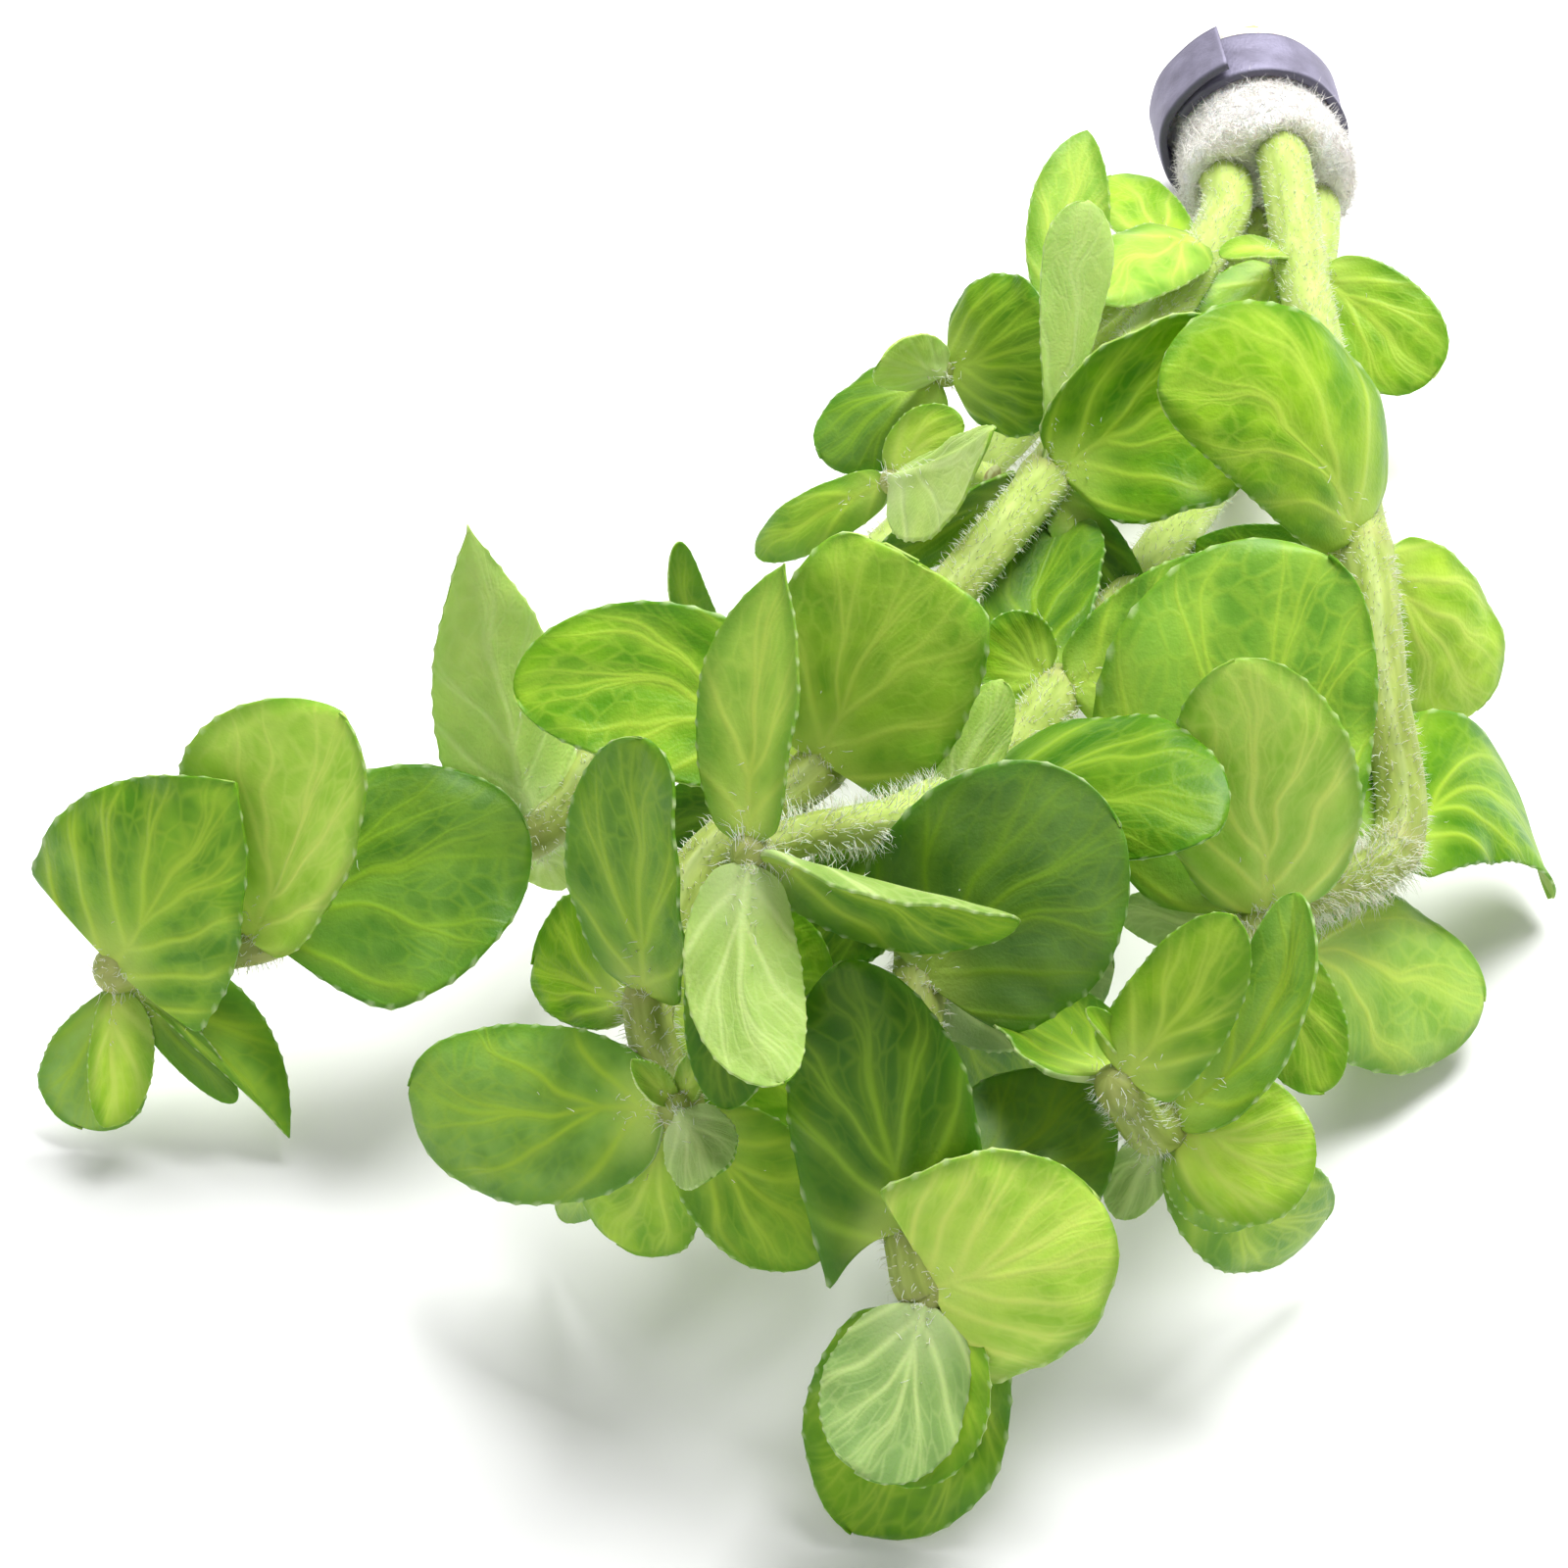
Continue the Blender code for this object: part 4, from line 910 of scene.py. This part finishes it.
def vein_masks(tree):
    """What the leaf skins share: masks of the veins, the net between them, the blade and the margin."""
    seed, length = painted(tree, "seed"), painted(tree, "length")
    sheet = node(tree, "SeparateXYZ", node(tree, "UVMap", uv_map="sheet"))
    along = maths(tree, "MULTIPLY", sheet, SHEET_UNIT)
    across = maths(tree, "MULTIPLY", maths(tree, "SUBTRACT", sheet.node.outputs[1], 0.5), SHEET_UNIT)
    place = node(tree, "CombineXYZ", along, across, maths(tree, "MULTIPLY", seed, 90.0))
    ahead = wandered(tree, along, place)
    side = maths(tree, "SIGN", ahead.node.outputs[1])
    out = maths(tree, "ABSOLUTE", ahead.node.outputs[1])
    radius = node(tree, "VectorMath", node(tree, "CombineXYZ", ahead, out), operation="LENGTH", out="Value")
    grown = maths(tree, "DIVIDE", radius, length)
    fan, fan_width = vein_fan(tree, length, grown, ahead, out)
    off_vein = distance_to_vein(tree, fan, fan_width, grown, side, seed, out)

    # Veins of 0.3 to 0.5 mm are drawn about twice as wide, so that they show, in a pale band up to 4 mm wide
    fades = ramped(tree, grown, 0.45, 1.05, 1.0, 0.4)
    thick = node(tree, "MapRange", grown, 0.0, 0.9, 0.62, 0.4)
    core = maths(tree, "MULTIPLY", ramped(tree, off_vein, 0.0, thick, 1.0, 0.0), fades)
    band = maths(tree, "MULTIPLY", ramped(tree, off_vein, 0.0, 1.9, 1.0, 0.0), fades)

    # The net: cells about 3 mm long, drawn out along the veins, that show most towards the tip
    cells = [maths(tree, "MULTIPLY", part, scale)
             for part, scale in ((radius, 0.33), (fan, 6.0), (side, 3.0))]
    edges = node(tree, "TexVoronoi", node(tree, "CombineXYZ", *cells), feature="DISTANCE_TO_EDGE",
                 sockets={"Scale": 1.0, "Randomness": 0.9})
    net = maths(tree, "MULTIPLY", ramped(tree, edges, 0.0, 0.16, 1.0, 0.0),
                ramped(tree, grown, 0.2, 0.7, 0.06, 0.34))
    return {
        "veins": maths(tree, "MAXIMUM", core, net),
        "band": band,
        "base": ramped(tree, radius, 0.5, 7.0, 1.0, 0.0),
        "patches": node(tree, "TexNoise", place, sockets={"Scale": 0.16, "Detail": 3.0, "Roughness": 0.6}),
        "grain": node(tree, "TexNoise", place, sockets={"Scale": 3.0, "Detail": 2.0}),
        "margin": painted(tree, "margin"),
        "tooth": painted(tree, "tooth"),
        "bloom": painted(tree, "bloom"),
        # darker and lighter follow each leaf's light: painted shade and painted light along with its own tone
        "darker": node(tree, "MapRange", painted(tree, "light"), -1.0, 0.0, 1.0, 0.0),
        "lighter": node(tree, "MapRange", painted(tree, "light"), 0.0, 1.0, 0.0, 1.0),
    }


def waxy_leaf_upper(tree):
    """Living leaf, upper side: chlorophyll green under thin wax, with pale veins and a soft gloss."""
    masks = vein_masks(tree)
    spots = node(tree, "MapRange", masks["patches"], 0.38, 0.62, 0.0, 1.0)
    blade = mixed(tree, spots, colour("#4e8a02"), colour("#7aae06"))
    # Painted shade and painted light: light turns the blade deep green on shaded leaves and sunlit
    # yellow-green on lit ones, along with their own tone
    blade = mixed(tree, masks["darker"], blade, colour("#2a5a02"))
    sunlit = mixed(tree, spots, colour("#9ed030"), colour("#cef04a"))
    blade = mixed(tree, masks["lighter"], blade, sunlit)

    # Waxy coat and painted sheen: the wax is thicker in cloudy patches and turns the green paler and bluer;
    # the same wash also stands for a painted bluish sheen of reflected sky
    cloudy = node(tree, "MapRange", masks["patches"], 0.35, 0.6, 0.6, 1.3)
    wash = maths(tree, "MULTIPLY", masks["bloom"], cloudy, use_clamp=True)
    blade = mixed(tree, wash, blade, colour("#96c062"))
    # The veins take the same painted shade and painted light
    vein = mixed(tree, masks["darker"], colour("#b0d03c"), colour("#749c20"))
    vein = mixed(tree, masks["lighter"], vein, colour("#dcec74"))
    blade = layered(tree, blade, (masks["band"], 0.4, vein), (masks["veins"], 0.72, vein),
                    (masks["base"], 0.6, colour("#c6de6a")))
    blade = mixed(tree, ramped(tree, masks["margin"], 0.0, 2.2, 0.55, 0.0), blade, colour("#4c8410"))
    blade = layered(tree, blade, (masks["tooth"], 0.5, colour("#dfe9bd")))
    relief = maths(tree, "MULTIPLY_ADD", masks["veins"], -1.0, masks["grain"])
    bump = node(tree, "Bump", sockets={"Strength": 0.4, "Distance": 0.00014, "Height": relief})
    gloss = node(tree, "MapRange", masks["patches"], 0.3, 0.7, 0.36, 0.5)
    return {"Base Color": blade, "Roughness": gloss, "Normal": bump, "IOR": 1.45, "Subsurface Weight": 0.3,
            "Subsurface Radius": (0.5, 1.0, 0.15), "Subsurface Scale": 0.0008, "Specular IOR Level": 0.22,
            "Coat Weight": 0.1, "Coat Roughness": 0.28}


def matt_leaf_lower(tree):
    """Living leaf, lower side: full of air under its skin, so paler, greyer and matt. Its veins stand up."""
    masks = vein_masks(tree)
    spots = node(tree, "MapRange", masks["patches"], 0.35, 0.65, 0.0, 1.0)
    blade = mixed(tree, spots, colour("#84a63e"), colour("#9ab850"))
    # Painted shade and painted light: light turns the lower skin deep green on shaded leaves and sunlit
    # yellow-green on lit ones, along with their own tone
    blade = mixed(tree, masks["darker"], blade, colour("#4c7a2c"))
    sunlit = mixed(tree, spots, colour("#b6da5c"), colour("#d2ee70"))
    blade = mixed(tree, masks["lighter"], blade, sunlit)
    # A pale bluish wash: the wax, and partly a painted sheen of reflected sky
    blade = mixed(tree, masks["bloom"], blade, colour("#8ba876"))
    blade = layered(tree, blade, (masks["band"], 0.22, colour("#c0d880")),
                    (masks["veins"], 0.5, colour("#cfe294")), (masks["base"], 0.6, colour("#c6da9a")),
                    (masks["tooth"], 0.4, colour("#dfe9bd")))
    relief = maths(tree, "MULTIPLY_ADD", masks["veins"], 1.0, masks["grain"])
    bump = node(tree, "Bump", sockets={"Strength": 0.5, "Distance": 0.00014, "Height": relief})
    return {"Base Color": blade, "Roughness": 0.6, "Normal": bump, "IOR": 1.45, "Subsurface Weight": 0.3,
            "Subsurface Radius": (0.5, 1.0, 0.2), "Subsurface Scale": 0.0008, "Specular IOR Level": 0.22,
            "Sheen Weight": 0.04}


def juicy_stem(tree):
    """Herb stem: watery tissue, pale near the cut end and olive towards the tip, with darker strands.

    Its nodes are tinged straw, and light goes some way into it, which softens its shading.
    """
    sheet = node(tree, "UVMap", uv_map="sheet")
    strands = node(tree, "Mapping", sheet, sockets={"Scale": (9.0, 14.0, 1.0)})
    strands = node(tree, "TexNoise", strands, sockets={"Scale": 1.0, "Detail": 3.0})
    blotch = node(tree, "TexNoise", node(tree, "NewGeometry"), sockets={"Scale": 220.0, "Detail": 3.0})
    between = node(tree, "MapRange", strands, 0.35, 0.65)
    pale = mixed(tree, between, colour("#b0c862"), colour("#c6da7e"))
    olive = mixed(tree, between, colour("#8a9c42"), colour("#a6b65c"))
    skin = mixed(tree, node(tree, "MapRange", painted(tree, "grown"), 0.25, 0.55, 0.0, 1.0), pale, olive)
    skin = mixed(tree, node(tree, "MapRange", blotch, 0.5, 0.75, 0.0, 0.45), skin, colour("#a2bc5a"))
    tinge = maths(tree, "MULTIPLY", painted(tree, "node"), node(tree, "MapRange", blotch, 0.42, 0.6))
    skin = layered(tree, skin, (tinge, 0.4, colour("#b5ac74")))
    bump = node(tree, "Bump", sockets={"Strength": 0.4, "Distance": 0.0002, "Height": strands})
    return {"Base Color": skin, "Roughness": 0.5, "Normal": bump, "IOR": 1.42, "Subsurface Weight": 0.4,
            "Subsurface Radius": (1.0, 1.2, 0.4), "Subsurface Scale": 0.002}


def cut_stem(tree):
    """Stem cut across: wet pith, pale and a little browned by air."""
    pores = node(tree, "TexNoise", node(tree, "NewGeometry"), sockets={"Scale": 900.0, "Detail": 2.0})
    pith = mixed(tree, node(tree, "MapRange", pores, 0.4, 0.6), colour("#c9cf9a"), colour("#a39a66"))
    return {"Base Color": pith, "Roughness": 0.45, "IOR": 1.4}


def plant_hair(tree):
    """Plant hair: a row of clear, empty cells, which scatters light and looks white."""
    uneven = node(tree, "TexNoise", node(tree, "NewGeometry"), sockets={"Scale": 500.0})
    down = mixed(tree, uneven, colour("#f3f4e6"), colour("#e2e8cc"))
    return {"Base Color": down, "Roughness": 0.55, "IOR": 1.5, "Subsurface Weight": 0.2,
            "Subsurface Scale": 0.0004}


def wet_foam(tree):
    """Fibrous filter foam: white felted threads, matt, stained beige and pink where plant juice has dried."""
    where = node(tree, "NewGeometry")
    stain = node(tree, "TexNoise", where, sockets={"Scale": 130.0, "Detail": 3.0, "Roughness": 0.6})
    blush = node(tree, "TexNoise", where, sockets={"Scale": 95.0, "Detail": 2.0, "Distortion": 0.6})
    threads = node(tree, "TexNoise", where, sockets={"Scale": 1500.0, "Detail": 4.0, "Distortion": 1.5})
    felt = mixed(tree, node(tree, "MapRange", stain, 0.5, 0.8), colour("#fcfbf9"), colour("#efe4cf"))
    felt = mixed(tree, node(tree, "MapRange", blush, 0.6, 0.75, 0.0, 0.5), felt, colour("#e6c4c0"))
    # Painted shade: the hollows between threads, low in the bump, are laid a little grey
    felt = mixed(tree, node(tree, "MapRange", threads, 0.3, 0.5, 0.25, 0.0), felt, colour("#cfc8bd"))
    bump = node(tree, "Bump", sockets={"Strength": 0.9, "Distance": 0.0005, "Height": threads})
    return {"Base Color": felt, "Roughness": 0.95, "Normal": bump, "Subsurface Weight": 0.15,
            "Subsurface Scale": 0.001, "Sheen Weight": 0.2}


def foam_thread(tree):
    """Loose polyester thread of the foam: white and slightly shiny."""
    uneven = node(tree, "TexNoise", node(tree, "NewGeometry"), sockets={"Scale": 300.0})
    thread = mixed(tree, uneven, colour("#fefdfb"), colour("#f3eee6"))
    return {"Base Color": thread, "Roughness": 0.5, "IOR": 1.55}


def oxidised_lead(tree):
    """Rolled lead left in air: soft metal under a dull purple-grey oxide, darker along its edges."""
    where = node(tree, "NewGeometry")
    cloud = node(tree, "TexNoise", where, sockets={"Scale": 260.0, "Detail": 4.0, "Roughness": 0.6})
    fine = node(tree, "TexNoise", where, sockets={"Scale": 2600.0, "Detail": 3.0})
    oxide = mixed(tree, node(tree, "MapRange", cloud, 0.35, 0.65), colour("#827e92"), colour("#9b97ae"))
    oxide = mixed(tree, ramped(tree, painted(tree, "edge"), 0.0, 0.7, 0.8, 0.0), oxide, colour("#4b4a58"))
    bump = node(tree, "Bump", sockets={"Strength": 0.4, "Distance": 0.0002, "Height": fine})
    dull = node(tree, "MapRange", cloud, 0.3, 0.7, 0.52, 0.68)
    return {"Base Color": oxide, "Metallic": 0.5, "Roughness": dull, "Normal": bump}


def white_table(tree):
    """Smooth white laminate under the bunch."""
    uneven = node(tree, "TexNoise", node(tree, "NewGeometry"), sockets={"Scale": 12.0})
    board = mixed(tree, uneven, colour("#fafafa"), colour("#f7f7f8"))
    return {"Base Color": board, "Roughness": 0.7}


def set_stage():
    """A wide white table, a soft lamp above and behind, a weaker one in front, and the camera."""
    scene = bpy.context.scene
    table = bpy.data.meshes.new("table")
    corners = [(x * TABLE_REACH, y * TABLE_REACH, 0) for x, y in ((-1, -1), (1, -1), (1, 1), (-1, 1))]
    table.from_pydata(corners, [], [(0, 1, 2, 3)])
    table.materials.append(surface("white_table", white_table))
    floor = bpy.data.objects.new("table", table)
    scene.collection.objects.link(floor)
    for name, place, wide, power in LAMPS:
        light = bpy.data.lights.new(name, "AREA")
        light.size = wide
        light.energy = power
        lamp = bpy.data.objects.new(name, light)
        lamp.location = place
        lamp.rotation_euler = (Vector(LAMP_AIM) - Vector(place)).to_track_quat("-Z", "Y").to_euler()
        scene.collection.objects.link(lamp)
    scene.world = bpy.data.worlds.new("studio")
    scene.world.use_nodes = True
    sky = scene.world.node_tree.nodes["Background"]
    sky.inputs["Color"].default_value = colour("#ffffff")
    sky.inputs["Strength"].default_value = SKY_STRENGTH
    eye = bpy.data.cameras.new("camera")
    eye.sensor_width = 36
    eye.lens = eye.sensor_width / 2 / math.tan(math.radians(VIEW_WIDTH_DEGREES / 2))
    eye.clip_end = 10
    camera = bpy.data.objects.new("camera", eye)
    camera.location = placed(VIEW_TARGET + FACE_OUT * VIEW_DISTANCE)
    camera.rotation_euler = (math.pi / 2 - VIEW_ELEVATION, 0, 0)
    scene.collection.objects.link(camera)
    scene.camera = camera
    scene.view_settings.view_transform = "Standard"


def dress():
    """Make every piece, and hide each solid that a piece stands in place of."""
    upper = surface("waxy_leaf_upper", waxy_leaf_upper)
    lower = surface("matt_leaf_lower", matt_leaf_lower)
    skin = surface("juicy_stem", juicy_stem)
    hair = surface("plant_hair", plant_hair)
    cut = surface("cut_stem", cut_stem)
    solids = {leaf.name for leaf in LEAVES}
    for leaf in LEAF_PIECES:
        blade = make_leaf(leaf, upper, lower, hair)
        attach(blade, "root")
        if leaf.name in solids:
            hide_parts(leaf.name)
    for stem in STEMS:
        tube = make_stem(stem, skin, hair, cut)
        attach(tube, "root")
        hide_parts(stem.name)
    plug = make_foam(surface("wet_foam", wet_foam), surface("foam_thread", foam_thread))
    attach(plug, "root")
    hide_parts("collar_foam")
    band = make_strip(surface("oxidised_lead", oxidised_lead))
    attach(band, "root")
    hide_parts("lead_strip")


set_stage()
dress()
